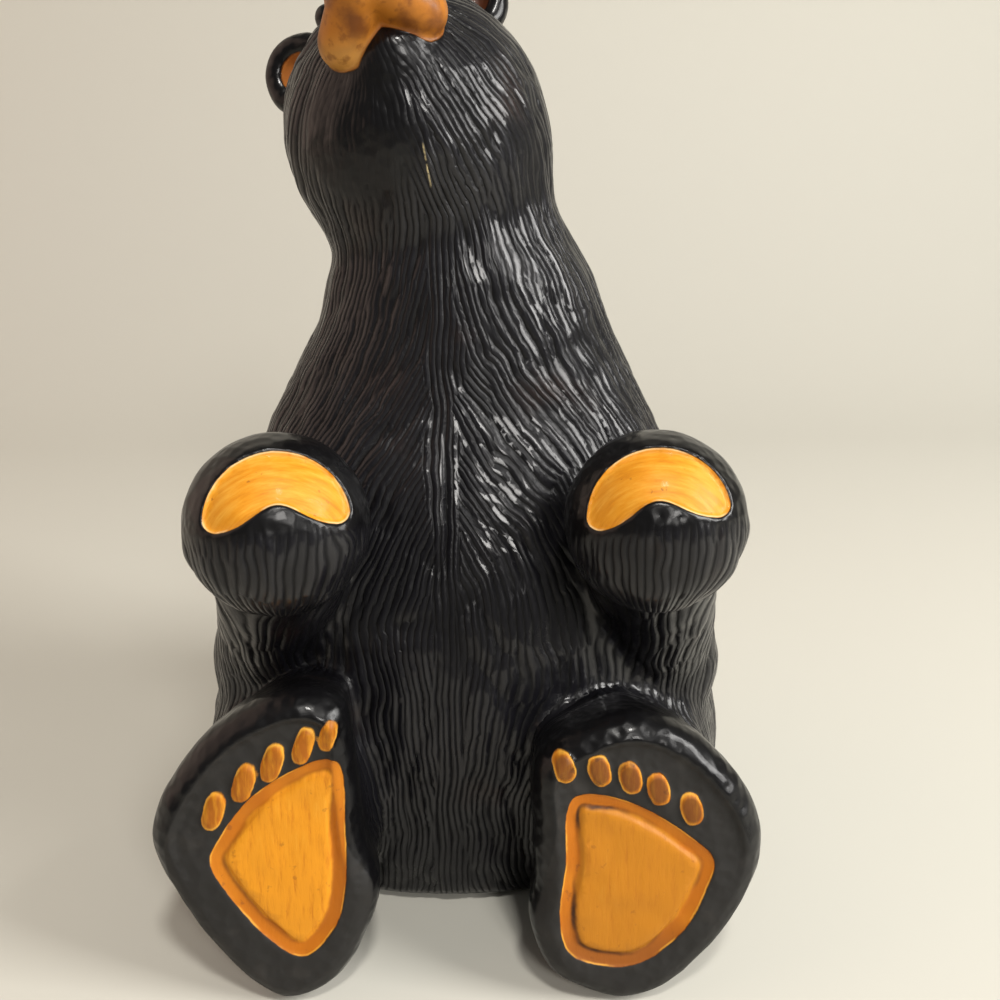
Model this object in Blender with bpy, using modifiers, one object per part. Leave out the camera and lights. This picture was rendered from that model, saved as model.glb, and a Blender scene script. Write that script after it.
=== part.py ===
"""A seated bear with its head thrown back, cast in one piece, with carved fur.

Lengths are in millimetres until the last step. x runs to the viewer's right, y away from the viewer and z up.
The form is drawn at DRAWN_HEIGHT and comes out at FIGURE_HEIGHT.
"""
import math

import bmesh
import bpy
import numpy as np

FIGURE_HEIGHT = 245.0
DRAWN_HEIGHT = 244.6
GRID = 1.6
TRIANGLES = 9600
BALL_AROUND = 32
BALL_UP = 20

# The point of the floor that becomes the origin.
FLOOR_CENTRE = (1.85, -5.35)

# Carved locks of fur. Each is found by walking along the fur in steps, over cells that hold its way.
LOCK_WIDTH = 5.0
LOCK_LENGTH = 26.0
LOCK_DEPTH = 0.6
WALK_STEP = 1.0
CELL = 2.0

# The fur sways to either side by up to this many degrees, in patches of this many millimetres.
SWAY_SIZE = 16.0
SWAY_TURN = 16.0

# A smooth patch on the left cheek.
SMOOTH_CHEEK = (-23.0, -17.0, 198.0)
SMOOTH_CHEEK_REACH = 20.0

# The head, lifted from level and rolled to the viewer's left.
HEAD_CENTRE = (-9.0, 15.0, 198.0)
HEAD_RADII = (34.5, 36.0, 35.0)
HEAD_LIFT = 48.0
HEAD_ROLL = 20.0
NECK_START = (4.0, 14.0, 150.0)
NECK_END = (-4.0, 15.0, 188.0)
NECK_RADII = (30.0, 29.0)

# Places on the head: to the side, towards the muzzle, towards the crown.
FACE_SHIFT = 2.0
SNOUT = (0.0, 32.0, 4.0)
SNOUT_RADII = (12.5, 21.0, 10.5)
JOWL_FRONT = (2.6, 47.0, -3.0)
JOWL_BACK = (9.6, 37.0, -4.0)
JOWL_RADIUS = 6.1
CHIN = (0.0, 26.5, -9.0)
CHIN_RADII = (10.0, 12.0, 6.6)
NOSE = (0.0, 52.0, 6.0)
NOSE_RADII = (8.0, 5.5, 5.5)
EYE = (12.5, 29.0, 18.0)
EYE_RADIUS = 3.2
EARS = ((25.5, 12.0, 24.0), (22.5, 12.0, 27.0))
EAR_FACING = (0.24, 0.87, -0.43)
EAR_RING = 7.6
EAR_RIM = 3.2

# Arms: shoulder, elbow and paw on the viewer's left, then on the right.
SHOULDERS = ((-45.0, 6.0, 104.0), (49.0, 6.0, 104.0))
ELBOWS = ((-52.0, -15.0, 60.0), (57.0, -15.0, 57.0))
PAWS = ((-41.0, -54.0, 115.5), (45.5, -54.0, 115.0))
WRIST_OFFSET = (0.0, 8.0, -3.0)
SHOULDER_RADIUS = 15.0
ELBOW_RADIUS = 14.5
WRIST_RADIUS = 17.5
PAW_RADIUS = 21.0
PAW_TIP = 19.5

# The bean-shaped pad of a paw, on the side that faces the viewer.
PAW_LIFT = 21.0
PAW_TURNS = (11.0, -12.0)
BEAN_RADIUS = 15.8
BEAN_BASE = -1.2
BEAN_NOTCH = 5.2
BEAN_NOTCH_WIDTH = 7.0
BEAN_TILTS = (0.0, 10.0)
BEAN_SHIFTS = (0.0, 1.0)
BEAN_CORNER = 3.5
BEAN_DEPTH = 1.2

# Legs and feet. An outline is a ring of stations on the sole, across and up from its centre.
HIPS = ((-42.0, 6.0, 34.0), (46.0, 6.0, 34.0))
HIP_RADIUS = 28.0
ANKLE_RADIUS = 23.0
ANKLE_OFFSET = (0.0, 28.0, -3.0)
SOLE_LEAN = 10.0
SOLE_RIM = 6.0
SOLE_DEPTH = 1.6
FOOT_THICKNESS = 38.0
FOOT_TAPER = 7.0
FOOT_EDGE = 8.0
FOOT_CENTRES = ((-46.0, -75.0, 37.0), (43.5, -78.5, 35.0))
FOOT_OUTLINES = (
    ((20, 35), (21.5, 19), (23, 4), (26, -8), (22, -21.5), (14.5, -32.5), (3, -37), (-7, -31),
     (-18, -17), (-25.8, -2), (-27.8, 9), (-22.9, 20.5), (-13.4, 32), (-2, 39.5), (9, 42.3), (17, 40)),
    ((-22, 32), (-27, 25), (-27, 11), (-26.5, -4), (-28, -14), (-23, -27), (-11, -34), (-2, -35),
     (8, -30.5), (19.5, -18.5), (26.8, -5), (28.7, 7), (24.8, 18.6), (14.4, 30.7), (3, 37.3), (-8, 38.2)),
)
SOLE_PADS = (
    ((18, 24), (18.5, 9), (18.3, -4), (15.5, -15.5), (7.5, -23), (-1.5, -17), (-9, -7), (-13.2, 1),
     (-11.5, 6.5), (-4, 16.5), (5, 22.8), (13.5, 26.3)),
    ((-17, 19.5), (-19.3, 14), (-19.3, 3), (-20.8, -9), (-18.5, -20), (-8, -24), (1, -22), (9.5, -14),
     (14.2, -4.5), (15.7, 3), (9, 9.5), (0, 15.5), (-9, 19.2)),
)
PAD_CENTRES = ((3.0, 1.0), (-3.0, -3.0))
PAD_RIM = 3.3
PAD_GROOVE = 1.1
PAD_RISE = 1.0
# A row of toes: its middle, its half length, its bow, and where along it each toe is.
TOE_ROWS = (
    ((1.9, 23.3), (13.7, 9.0), 2.0, (-1.0, -0.4, 0.11, 0.61, 0.98)),
    ((-4.8, 21.3), (15.0, -5.6), 2.6, (-1.0, -0.5, -0.03, 0.42, 1.0)),
)
TOE_SIZES = ((2.4, 4.9), (2.6, 4.1))
TOE_TILTS = (18.0, -16.0)
TOE_SCALES = ((1.0, 1.0, 1.0, 0.94, 0.78), (0.95, 1.0, 1.0, 1.0, 1.0))
TOE_SQUARENESS = 2.5
TOE_RISE = 1.0

TAIL = (2.0, 62.0, 22.0)
TAIL_RADII = (10.0, 10.0, 9.0)

# Torso stations: height, half width, front and back.
TORSO_SIDE = 2.0
TORSO_TOP = 172.0
TORSO = (
    (0.0, 66.0, -45.0, 52.0),
    (12.0, 74.0, -48.0, 60.0),
    (28.0, 77.5, -50.0, 65.0),
    (42.0, 73.0, -51.0, 66.0),
    (60.0, 66.5, -50.0, 66.0),
    (80.0, 65.5, -46.0, 64.0),
    (100.0, 62.0, -39.0, 59.0),
    (118.0, 56.5, -31.0, 53.0),
    (138.0, 46.5, -22.0, 46.0),
    (155.0, 36.0, -15.0, 41.0),
    (172.0, 28.0, -11.0, 36.0),
)


def unit(vector):
    vector = np.asarray(vector, float)
    return vector / np.linalg.norm(vector)


def soft_step(value, start, end):
    share = np.clip((value - start) / (end - start), 0.0, 1.0)
    return share * share * (3.0 - 2.0 * share)


def join(first, second, fillet):
    """The union of two distances, with a fillet."""
    overlap = np.maximum(fillet - np.abs(first - second), 0.0) / fillet
    return np.minimum(first, second) - overlap**2 * fillet / 4.0


def meet(first, second, radius):
    """The corner that two walls share, rounded."""
    inner = np.minimum(np.maximum(first, second) + radius, 0.0)
    outer = np.hypot(np.maximum(first + radius, 0.0), np.maximum(second + radius, 0.0))
    return inner + outer - radius


def head_axes():
    """Side, muzzle and crown directions of the head."""
    lift = math.radians(HEAD_LIFT)
    roll = math.radians(HEAD_ROLL)
    turn = np.array((
        (math.cos(roll), 0.0, -math.sin(roll)),
        (0.0, 1.0, 0.0),
        (math.sin(roll), 0.0, math.cos(roll)),
    ))
    level = np.array((
        (1.0, 0.0, 0.0),
        (0.0, -math.cos(lift), math.sin(lift)),
        (0.0, math.sin(lift), math.cos(lift)),
    ))
    return level @ turn.T


HEAD_AXES = head_axes()
WORLD_AXES = np.eye(3)


def on_head(place, flip=1.0):
    side, forward, up = place
    return np.array(HEAD_CENTRE) + np.array((FACE_SHIFT + flip * side, forward, up)) @ HEAD_AXES


def ball(points, centre, axes, radii):
    local = (points - np.asarray(centre, float)) @ np.asarray(axes, float).T
    radii = np.asarray(radii, float)
    near = np.linalg.norm(local / radii, axis=1)
    slope = np.linalg.norm(local / radii**2, axis=1)
    return near * (near - 1.0) / np.maximum(slope, 1e-6)


def limb(points, start, end, start_radius, end_radius):
    start = np.asarray(start, float)
    along = np.asarray(end, float) - start
    share = np.clip((points - start) @ along / (along @ along), 0.0, 1.0)
    radius = start_radius + (end_radius - start_radius) * share
    return np.linalg.norm(points - start - share[:, None] * along, axis=1) - radius


def torso_sizes(height):
    """Half width, front and back at a height, on an eased curve through the stations."""
    stations = np.array(TORSO)
    steps = np.linspace(-7.0, 7.0, 5)
    level = np.clip(height, stations[0, 0], stations[-1, 0])
    return [
        np.mean([np.interp(level + step, stations[:, 0], stations[:, column]) for step in steps], axis=0)
        for column in (1, 2, 3)
    ]


def torso(points):
    width, front, back = torso_sizes(points[:, 2])
    middle = (front + back) / 2.0
    depth = (back - front) / 2.0
    power = 2.2
    across = np.abs(points[:, 0] - TORSO_SIDE) / width
    through = np.abs(points[:, 1] - middle) / depth
    near = (across**power + through**power)**(1.0 / power)
    wall = (near - 1.0) * np.minimum(width, depth) * 0.93
    return meet(meet(wall, points[:, 2] - TORSO_TOP, 12.0), -points[:, 2], 5.0)


def ring_through(stations):
    """A smooth closed curve through the stations."""
    rows = np.array(stations, float)
    before, after, beyond = np.roll(rows, 1, 0), np.roll(rows, -1, 0), np.roll(rows, -2, 0)
    curve = []
    for t in np.linspace(0.0, 1.0, 8, endpoint=False):
        curve.append(
            rows
            + 0.5 * t * (after - before)
            + t**2 * (before - 2.5 * rows + 2.0 * after - 0.5 * beyond)
            + t**3 * (1.5 * rows - 0.5 * before - 1.5 * after + 0.5 * beyond)
        )
    return np.stack(curve, axis=1).reshape(-1, 2)


def turning_radius(stations, centre):
    """The curve's radius at even angles round its centre, with the first angle repeated at the end."""
    curve = ring_through(stations) - np.asarray(centre)
    angle = np.arctan2(curve[:, 1], curve[:, 0])
    order = np.argsort(angle)
    even = np.linspace(-math.pi, math.pi, 181)
    return even, np.interp(even, angle[order], np.hypot(*curve.T)[order], period=2.0 * math.pi)


FOOT_TURNS = [turning_radius(stations, (0.0, 0.0)) for stations in FOOT_OUTLINES]
PAD_TURNS = [turning_radius(stations, centre) for stations, centre in zip(SOLE_PADS, PAD_CENTRES)]


def outline(across, rise, turns):
    """Distance to a closed outline given by its radius at each angle."""
    even, radii = turns
    angle = np.arctan2(rise, across)
    radius = np.interp(angle, even, radii)
    change = np.interp(angle, even, np.gradient(radii, even))
    return (np.hypot(across, rise) - radius) / np.sqrt(1.0 + (change / radius)**2)


def sole_frame():
    lean = math.radians(SOLE_LEAN)
    return np.array((
        (1.0, 0.0, 0.0),
        (0.0, math.sin(lean), math.cos(lean)),
        (0.0, -math.cos(lean), math.sin(lean)),
    ))


SOLE_AXES = sole_frame()


def sole_places(points, which):
    return ((points - np.asarray(FOOT_CENTRES[which])) @ SOLE_AXES.T).T


def sole_pad(points, which):
    across, rise, _ = sole_places(points, which)
    centre = PAD_CENTRES[which]
    return outline(across - centre[0], rise - centre[1], PAD_TURNS[which])


def toes(points, which):
    """Distance, on the sole, to the nearest of five toes set along a bowed row."""
    across, rise, _ = sole_places(points, which)
    middle, half, bow, places = TOE_ROWS[which]
    width, height = TOE_SIZES[which]
    turn = math.radians(TOE_TILTS[which])
    normal = unit((-half[1], half[0]))
    nearest = np.full(len(points), 1e3)
    for place, scale in zip(places, TOE_SCALES[which]):
        x = across - middle[0] - half[0] * place - normal[0] * bow * (1.0 - place**2)
        y = rise - middle[1] - half[1] * place - normal[1] * bow * (1.0 - place**2)
        u = x * math.cos(turn) - y * math.sin(turn)
        v = x * math.sin(turn) + y * math.cos(turn)
        size = (np.abs(u / width)**TOE_SQUARENESS + np.abs(v / height)**TOE_SQUARENESS)**(1.0 / TOE_SQUARENESS)
        nearest = np.minimum(nearest, (size - scale) * width)
    return nearest


def foot(points, which):
    across, rise, out = sole_places(points, which)
    edge = outline(across, rise, FOOT_TURNS[which])
    pad = -sole_pad(points, which)
    toe = -toes(points, which)
    upper = 0.3 + 0.7 * soft_step(rise, -8.0, 14.0)
    face = -SOLE_DEPTH * upper * soft_step(-edge, SOLE_RIM - 0.8, SOLE_RIM + 1.2)
    face = face - PAD_GROOVE * (0.5 * soft_step(pad, -0.3, 0.5) + 0.5 * soft_step(pad, 0.5, PAD_RIM))
    face = face + PAD_RISE * soft_step(pad, PAD_RIM, PAD_RIM + 0.9)
    face = face + TOE_RISE * soft_step(toe, -0.4, 0.9)
    taper = FOOT_TAPER * np.clip(-out / FOOT_THICKNESS, 0.0, 1.0)**2
    front = meet(edge + taper, out - face, FOOT_EDGE)
    return meet(front, -out - FOOT_THICKNESS, 8.0)


def paw_frame(which):
    """Across, up and outward directions of a paw."""
    lift = math.radians(PAW_LIFT)
    turn = math.radians(PAW_TURNS[which])
    out = np.array((math.sin(turn) * math.cos(lift), -math.cos(turn) * math.cos(lift), math.sin(lift)))
    across = unit(np.cross(out, (0.0, 0.0, -1.0)))
    tilt = math.radians(BEAN_TILTS[which])
    up = np.cross(across, -out)
    return np.array((
        across * math.cos(tilt) + up * math.sin(tilt),
        up * math.cos(tilt) - across * math.sin(tilt),
        out,
    ))


def bean(points, which):
    """Distance, seen from the front of a paw, to its bean-shaped pad."""
    across, rise, _ = ((points - np.asarray(PAWS[which])) @ paw_frame(which).T).T
    across = across - BEAN_SHIFTS[which]
    disc = np.hypot(across, rise) - BEAN_RADIUS
    arch = BEAN_BASE + BEAN_NOTCH * np.exp(-(across / BEAN_NOTCH_WIDTH)**2) - rise
    return meet(disc, arch, BEAN_CORNER)


def paw(points, which):
    axes = paw_frame(which)
    base = ball(points, PAWS[which], axes, (PAW_RADIUS, PAW_RADIUS, PAW_TIP))
    front = soft_step((points - np.asarray(PAWS[which])) @ axes[2], 0.0, 4.0)
    return base + BEAN_DEPTH * front * soft_step(-bean(points, which), -0.3, 0.7)


def wrist(which):
    return np.asarray(PAWS[which]) + np.asarray(WRIST_OFFSET)


def ankle(which):
    return np.asarray(FOOT_CENTRES[which]) + np.asarray(ANKLE_OFFSET)


def arm(points, which):
    upper = limb(points, SHOULDERS[which], ELBOWS[which], SHOULDER_RADIUS, ELBOW_RADIUS)
    lower = limb(points, ELBOWS[which], wrist(which), ELBOW_RADIUS, WRIST_RADIUS)
    return join(upper, lower, 8.0)


def leg(points, which):
    return limb(points, HIPS[which], ankle(which), HIP_RADIUS, ANKLE_RADIUS)


def ear_centre(flip):
    return on_head(EARS[0] if flip < 0.0 else EARS[1], flip)


def ear_facing(flip):
    return unit(np.array((flip * EAR_FACING[0], EAR_FACING[1], EAR_FACING[2])) @ HEAD_AXES)


def ear(points, flip):
    offset = points - ear_centre(flip)
    out = offset @ ear_facing(flip)
    round_ = np.sqrt(np.maximum((offset**2).sum(axis=1) - out**2, 0.0))
    rim = np.hypot(round_ - EAR_RING, out) - EAR_RIM
    back = meet(round_ - EAR_RING, np.abs(out + 1.6) - 1.2, 1.0)
    return join(rim, back, 2.0)


def shapes(points):
    """Distance to each named mass of the figure."""
    found = {"torso": torso(points)}
    found["neck"] = limb(points, NECK_START, NECK_END, *NECK_RADII)
    found["head"] = ball(points, HEAD_CENTRE, HEAD_AXES, HEAD_RADII)
    found["tail"] = ball(points, TAIL, WORLD_AXES, TAIL_RADII)
    found["chin"] = ball(points, on_head(CHIN), HEAD_AXES, CHIN_RADII)
    found["snout"] = ball(points, on_head(SNOUT), HEAD_AXES, SNOUT_RADII)
    found["nose"] = ball(points, on_head(NOSE), HEAD_AXES, NOSE_RADII)
    for which, flip in enumerate((-1.0, 1.0)):
        ends = on_head(JOWL_FRONT, flip), on_head(JOWL_BACK, flip)
        found[f"jowl{which}"] = limb(points, *ends, JOWL_RADIUS, JOWL_RADIUS)
        found[f"eye{which}"] = ball(points, on_head(EYE, flip), HEAD_AXES, (EYE_RADIUS,) * 3)
        found[f"ear{which}"] = ear(points, flip)
        found[f"arm{which}"] = arm(points, which)
        found[f"paw{which}"] = paw(points, which)
        found[f"leg{which}"] = leg(points, which)
        found[f"foot{which}"] = foot(points, which)
    return found


def form(points):
    """Distance to the whole figure before its fur is carved."""
    part = shapes(points)
    body = join(part["torso"], part["neck"], 16.0)
    body = join(body, part["head"], 7.0)
    body = join(body, part["tail"], 5.0)
    body = join(body, part["chin"], 6.0)
    body = join(body, part["snout"], 4.0)
    for which in (0, 1):
        body = join(body, part[f"jowl{which}"], 1.2)
        body = join(body, part[f"eye{which}"], 0.8)
        body = join(body, part[f"ear{which}"], 2.5)
        body = join(body, join(part[f"arm{which}"], part[f"paw{which}"], 4.0), 4.0)
        body = join(body, part[f"leg{which}"], 9.0)
        body = join(body, part[f"foot{which}"], 4.0)
    body = join(body, part["nose"], 1.5)
    return np.maximum(body, -points[:, 2])


def slope(points, step=0.25):
    """Direction of steepest rise of the form, and the rate of that rise."""
    rise = np.empty_like(points)
    for axis in range(3):
        shift = np.zeros(3)
        shift[axis] = step
        rise[:, axis] = (form(points + shift) - form(points - shift)) / (2.0 * step)
    rate = np.linalg.norm(rise, axis=1)
    return rise / np.maximum(rate, 1e-6)[:, None], rate


def settle(points, rounds):
    """Moves points onto the surface of the form."""
    for _ in range(rounds):
        normal, rate = slope(points)
        step = np.clip(form(points) / np.maximum(rate, 0.3), -2.0, 2.0)
        points = points - normal * step[:, None]
    return points


def ring_faces(rings, around, first):
    """Squares between rings of points, and a face over each end ring."""
    faces = []
    for ring in range(rings - 1):
        for i in range(around):
            low = first + ring * around
            j = (i + 1) % around
            faces.append((low + i, low + j, low + around + j, low + around + i))
    faces.append(tuple(range(first + around - 1, first - 1, -1)))
    faces.append(tuple(range(first + (rings - 1) * around, first + rings * around)))
    return faces


def unit_ball():
    around = np.linspace(0.0, 2.0 * math.pi, BALL_AROUND, endpoint=False)
    up = np.linspace(-math.pi / 2.0, math.pi / 2.0, BALL_UP + 2)[1:-1]
    rings = [
        np.stack((np.cos(around) * math.cos(a), np.sin(around) * math.cos(a), np.full(BALL_AROUND, math.sin(a))), 1)
        for a in up
    ]
    return np.concatenate(rings)


UNIT_BALL = unit_ball()


def ball_rings(centre, axes, radii):
    return np.asarray(centre, float) + (UNIT_BALL * np.asarray(radii, float)) @ np.asarray(axes, float)


def limb_rings(start, end, start_radius, end_radius):
    for share in np.linspace(0.0, 1.0, 7):
        centre = np.asarray(start) * (1.0 - share) + np.asarray(end) * share
        yield ball_rings(centre, WORLD_AXES, (start_radius * (1.0 - share) + end_radius * share,) * 3)


def torso_rings():
    angles = np.linspace(0.0, 2.0 * math.pi, 48, endpoint=False)
    rings = []
    for height in np.linspace(0.5, TORSO_TOP - 2.0, 40):
        width, front, back = (column[0] for column in torso_sizes(np.array([height])))
        x = TORSO_SIDE + width * np.cos(angles)
        y = (front + back) / 2.0 + (back - front) / 2.0 * np.sin(angles)
        rings.append(np.stack((x, y, np.full(48, height)), axis=1))
    return np.concatenate(rings)


def foot_rings(which):
    angles = np.linspace(0.0, 2.0 * math.pi, 60, endpoint=False)
    radius = np.interp(angles, *FOOT_TURNS[which], period=2.0 * math.pi)
    flat = np.stack((np.cos(angles), np.sin(angles), np.zeros_like(angles)), axis=1)
    rings = []
    for depth, inset in ((-FOOT_THICKNESS, 10.0), (-14.0, 1.5), (-8.0, 1.0), (-1.0, 6.0)):
        local = flat * (radius - inset)[:, None] + np.array((0.0, 0.0, depth))
        rings.append(np.asarray(FOOT_CENTRES[which]) + local @ SOLE_AXES)
    return np.concatenate(rings)


def rough_shapes():
    """Each loose shape as its points and how many go round it."""
    yield torso_rings(), 48
    single = [
        ball_rings(HEAD_CENTRE, HEAD_AXES, HEAD_RADII),
        ball_rings(TAIL, WORLD_AXES, TAIL_RADII),
        *limb_rings(NECK_START, NECK_END, *NECK_RADII),
    ]
    for place, radii in ((CHIN, CHIN_RADII), (SNOUT, SNOUT_RADII), (NOSE, NOSE_RADII)):
        single.append(ball_rings(on_head(place), HEAD_AXES, radii))
    for which, flip in enumerate((-1.0, 1.0)):
        single += limb_rings(on_head(JOWL_FRONT, flip), on_head(JOWL_BACK, flip), JOWL_RADIUS, JOWL_RADIUS)
        single.append(ball_rings(on_head(EYE, flip), HEAD_AXES, (EYE_RADIUS,) * 3))
        facing = ear_facing(flip)
        side = unit(np.cross(facing, (0.0, 0.0, 1.0)))
        axes = np.array((side, np.cross(side, facing), facing))
        reach = EAR_RING + EAR_RIM
        single.append(ball_rings(ear_centre(flip), axes, (reach, reach, EAR_RIM)))
        single += limb_rings(SHOULDERS[which], ELBOWS[which], SHOULDER_RADIUS, ELBOW_RADIUS)
        single += limb_rings(ELBOWS[which], wrist(which), ELBOW_RADIUS, WRIST_RADIUS)
        single.append(ball_rings(PAWS[which], paw_frame(which), (PAW_RADIUS, PAW_RADIUS, PAW_TIP)))
        single += limb_rings(HIPS[which], ankle(which), HIP_RADIUS, ANKLE_RADIUS)
        yield foot_rings(which), 60
    for rings in single:
        yield rings, BALL_AROUND


def rough_figure():
    points = []
    faces = []
    for rings, around in rough_shapes():
        faces += ring_faces(len(rings) // around, around, sum(len(found) for found in points))
        points.append(rings)
    data = bpy.data.meshes.new("rough_bear")
    data.from_pydata(np.concatenate(points).tolist(), [], faces)
    mesh = bmesh.new()
    mesh.from_mesh(data)
    bmesh.ops.recalc_face_normals(mesh, faces=mesh.faces[:])
    mesh.to_mesh(data)
    mesh.free()
    return data


def points_of(data):
    found = np.empty(len(data.vertices) * 3, np.float32)
    data.vertices.foreach_get("co", found)
    return found.reshape(-1, 3).astype(float)


def edges_of(data):
    found = np.empty(len(data.edges) * 2, np.int32)
    data.edges.foreach_get("vertices", found)
    return found.reshape(-1, 2)


def evened(points, edges):
    """Each point moved towards the mean of its neighbours."""
    total = np.zeros_like(points)
    count = np.zeros(len(points))
    for here, there in ((0, 1), (1, 0)):
        for axis in range(3):
            total[:, axis] += np.bincount(edges[:, here], points[edges[:, there], axis], len(points))
        count += np.bincount(edges[:, here], minlength=len(points))
    return total / count[:, None]


def lattice(size, seed):
    """Random values at the corners of a lattice of cells of the given size, over the whole figure."""
    low = np.array((-100.0, -110.0, -20.0)) - 2.0 * size
    count = np.ceil((np.array((100.0, 90.0, 262.0)) - low) / size).astype(int) + 3
    values = np.random.default_rng(seed).uniform(-1.0, 1.0, tuple(count)).astype(np.float32)
    return size, low, count, values.ravel()


def sampled(noise, points):
    size, low, count, values = noise
    place = (points - low) / size
    cell = np.clip(np.floor(place).astype(np.int64), 0, count - 2)
    share = np.clip(place - cell, 0.0, 1.0).astype(np.float32)
    share = share * share * (3.0 - 2.0 * share)
    first = (cell[:, 0] * count[1] + cell[:, 1]) * count[2] + cell[:, 2]
    total = np.zeros(len(points), np.float32)
    for x in (0, 1):
        for y in (0, 1):
            for z in (0, 1):
                weight = np.ones(len(points), np.float32)
                for axis, bit in enumerate((x, y, z)):
                    weight *= share[:, axis] if bit else 1.0 - share[:, axis]
                total += weight * values[first + (x * count[1] + y) * count[2] + z]
    return total


SWAY = lattice(SWAY_SIZE, 11)


def parting(points):
    """How far a point is to the side of the line that parts the fur."""
    return points[:, 0] + 3.0 + 0.36 * np.maximum(points[:, 2] - 180.0, 0.0)


def fur_direction(points, normals):
    part = shapes(points)
    side = parting(points)
    turn = np.interp(points[:, 2], (0, 30, 60, 90, 115, 150, 175), (32, 22, 10, 20, 44, 40, 16))
    sway = np.radians(SWAY_TURN) * sampled(SWAY, points)
    lean = np.radians(turn) * np.tanh(side / 7.0) + sway
    down = np.stack((np.sin(lean), np.zeros_like(lean), -np.cos(lean)), axis=1)
    ways = {"torso": down, "neck": down, "tail": down}
    fan = np.radians(30.0) * np.tanh(side / 9.0) + sway
    back = np.stack((np.sin(fan), np.zeros_like(fan), -np.cos(fan)), axis=1) - 0.5 * HEAD_AXES[1]
    for name in ("head", "chin", "snout", "ear0", "ear1"):
        ways[name] = back
    side_step = np.stack((np.sin(sway), np.zeros_like(sway), np.zeros_like(sway)), axis=1)
    for which in (0, 1):
        ways[f"arm{which}"] = unit(np.asarray(ELBOWS[which]) - np.asarray(SHOULDERS[which])) + side_step
        ways[f"paw{which}"] = np.array((0.0, -0.2, -0.98)) + side_step
        ways[f"leg{which}"] = np.array((0.0, -0.45, -0.89)) + side_step
        ways[f"foot{which}"] = np.array((0.0, -0.45, -0.89)) + side_step
    nearest = np.min([part[name] for name in ways], axis=0)
    way = np.zeros_like(points)
    for name, direction in ways.items():
        way += np.exp(-np.minimum((part[name] - nearest) / 4.0, 60.0))[:, None] * direction
    way -= normals * (way * normals).sum(axis=1)[:, None]
    return way / np.maximum(np.linalg.norm(way, axis=1), 1e-6)[:, None]


def fur_amount(points):
    part = shapes(points)
    nearest = np.min(list(part.values()), axis=0)

    def close(name, reach):
        return soft_step(reach - (part[name] - nearest), 0.0, reach)

    amount = np.ones(len(points))
    for name in ("snout", "jowl0", "jowl1", "nose", "eye0", "eye1", "ear0", "ear1"):
        amount *= 1.0 - close(name, 1.5)
    amount *= 1.0 - 0.75 * close("chin", 4.0)
    cheek = np.linalg.norm(points - np.array(SMOOTH_CHEEK), axis=1)
    amount *= 1.0 - 0.8 * soft_step(SMOOTH_CHEEK_REACH - cheek, 0.0, 8.0)
    for which in (0, 1):
        across, rise, out = sole_places(points, which)
        amount *= 1.0 - close(f"foot{which}", 3.0) * (1.0 - 0.6 * soft_step(-out, 12.0, 20.0))
        rise = (points - np.asarray(PAWS[which])) @ paw_frame(which)[1]
        lower = soft_step(-rise, 0.0, 5.0) * soft_step(bean(points, which), 0.5, 2.5)
        amount *= 1.0 - close(f"paw{which}", 3.0) * (1.0 - 0.8 * lower)
    return amount * soft_step(points[:, 2], 1.0, 5.0)


def way_field(points, way):
    low = points.min(axis=0) - 3.0 * CELL
    count = np.ceil((points.max(axis=0) - low) / CELL).astype(int) + 4
    cell = ((points - low) / CELL).astype(np.int64)
    key = (cell[:, 0] * count[1] + cell[:, 1]) * count[2] + cell[:, 2]
    total = int(np.prod(count))
    field = np.stack([np.bincount(key, way[:, axis], total) for axis in range(3)], axis=1)
    field = field.reshape(*count, 3)
    spread = field.copy()
    for axis in range(3):
        spread += np.roll(field, 1, axis) + np.roll(field, -1, axis)
    length = np.linalg.norm(spread, axis=3, keepdims=True)
    return low, count, (spread / np.maximum(length, 1e-6)).reshape(-1, 3).astype(np.float32)


def walked(points, field, sign):
    low, count, ways = field
    while True:
        cell = np.clip(((points - low) / CELL).astype(np.int64), 0, count - 1)
        points = points + sign * WALK_STEP * ways[(cell[:, 0] * count[1] + cell[:, 1]) * count[2] + cell[:, 2]]
        yield points


def combed(points, field, layers):
    """One value for each layer of (lattice, length), drawn out along the fur."""
    totals = [sampled(noise, points) for noise, _ in layers]
    steps = [max(2, round(length / 2.0 / WALK_STEP)) for _, length in layers]
    for sign in (1.0, -1.0):
        path = walked(points, field, sign)
        for k in range(1, max(steps) + 1):
            spot = next(path)
            for i, (noise, _) in enumerate(layers):
                if k <= steps[i]:
                    totals[i] += (1.0 - k / (steps[i] + 1.0)) * sampled(noise, spot)
    return [total / total.std() for total in totals]


def material(name, colour, roughness):
    made = bpy.data.materials.new(name)
    made.use_nodes = True
    shader = made.node_tree.nodes["Principled BSDF"]
    shader.inputs["Base Color"].default_value = (*colour, 1.0)
    shader.inputs["Roughness"].default_value = roughness
    return made


def evaluated_mesh(obj, name):
    graph = bpy.context.evaluated_depsgraph_get()
    graph.update()
    return bpy.data.meshes.new_from_object(obj.evaluated_get(graph), depsgraph=graph)


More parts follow.
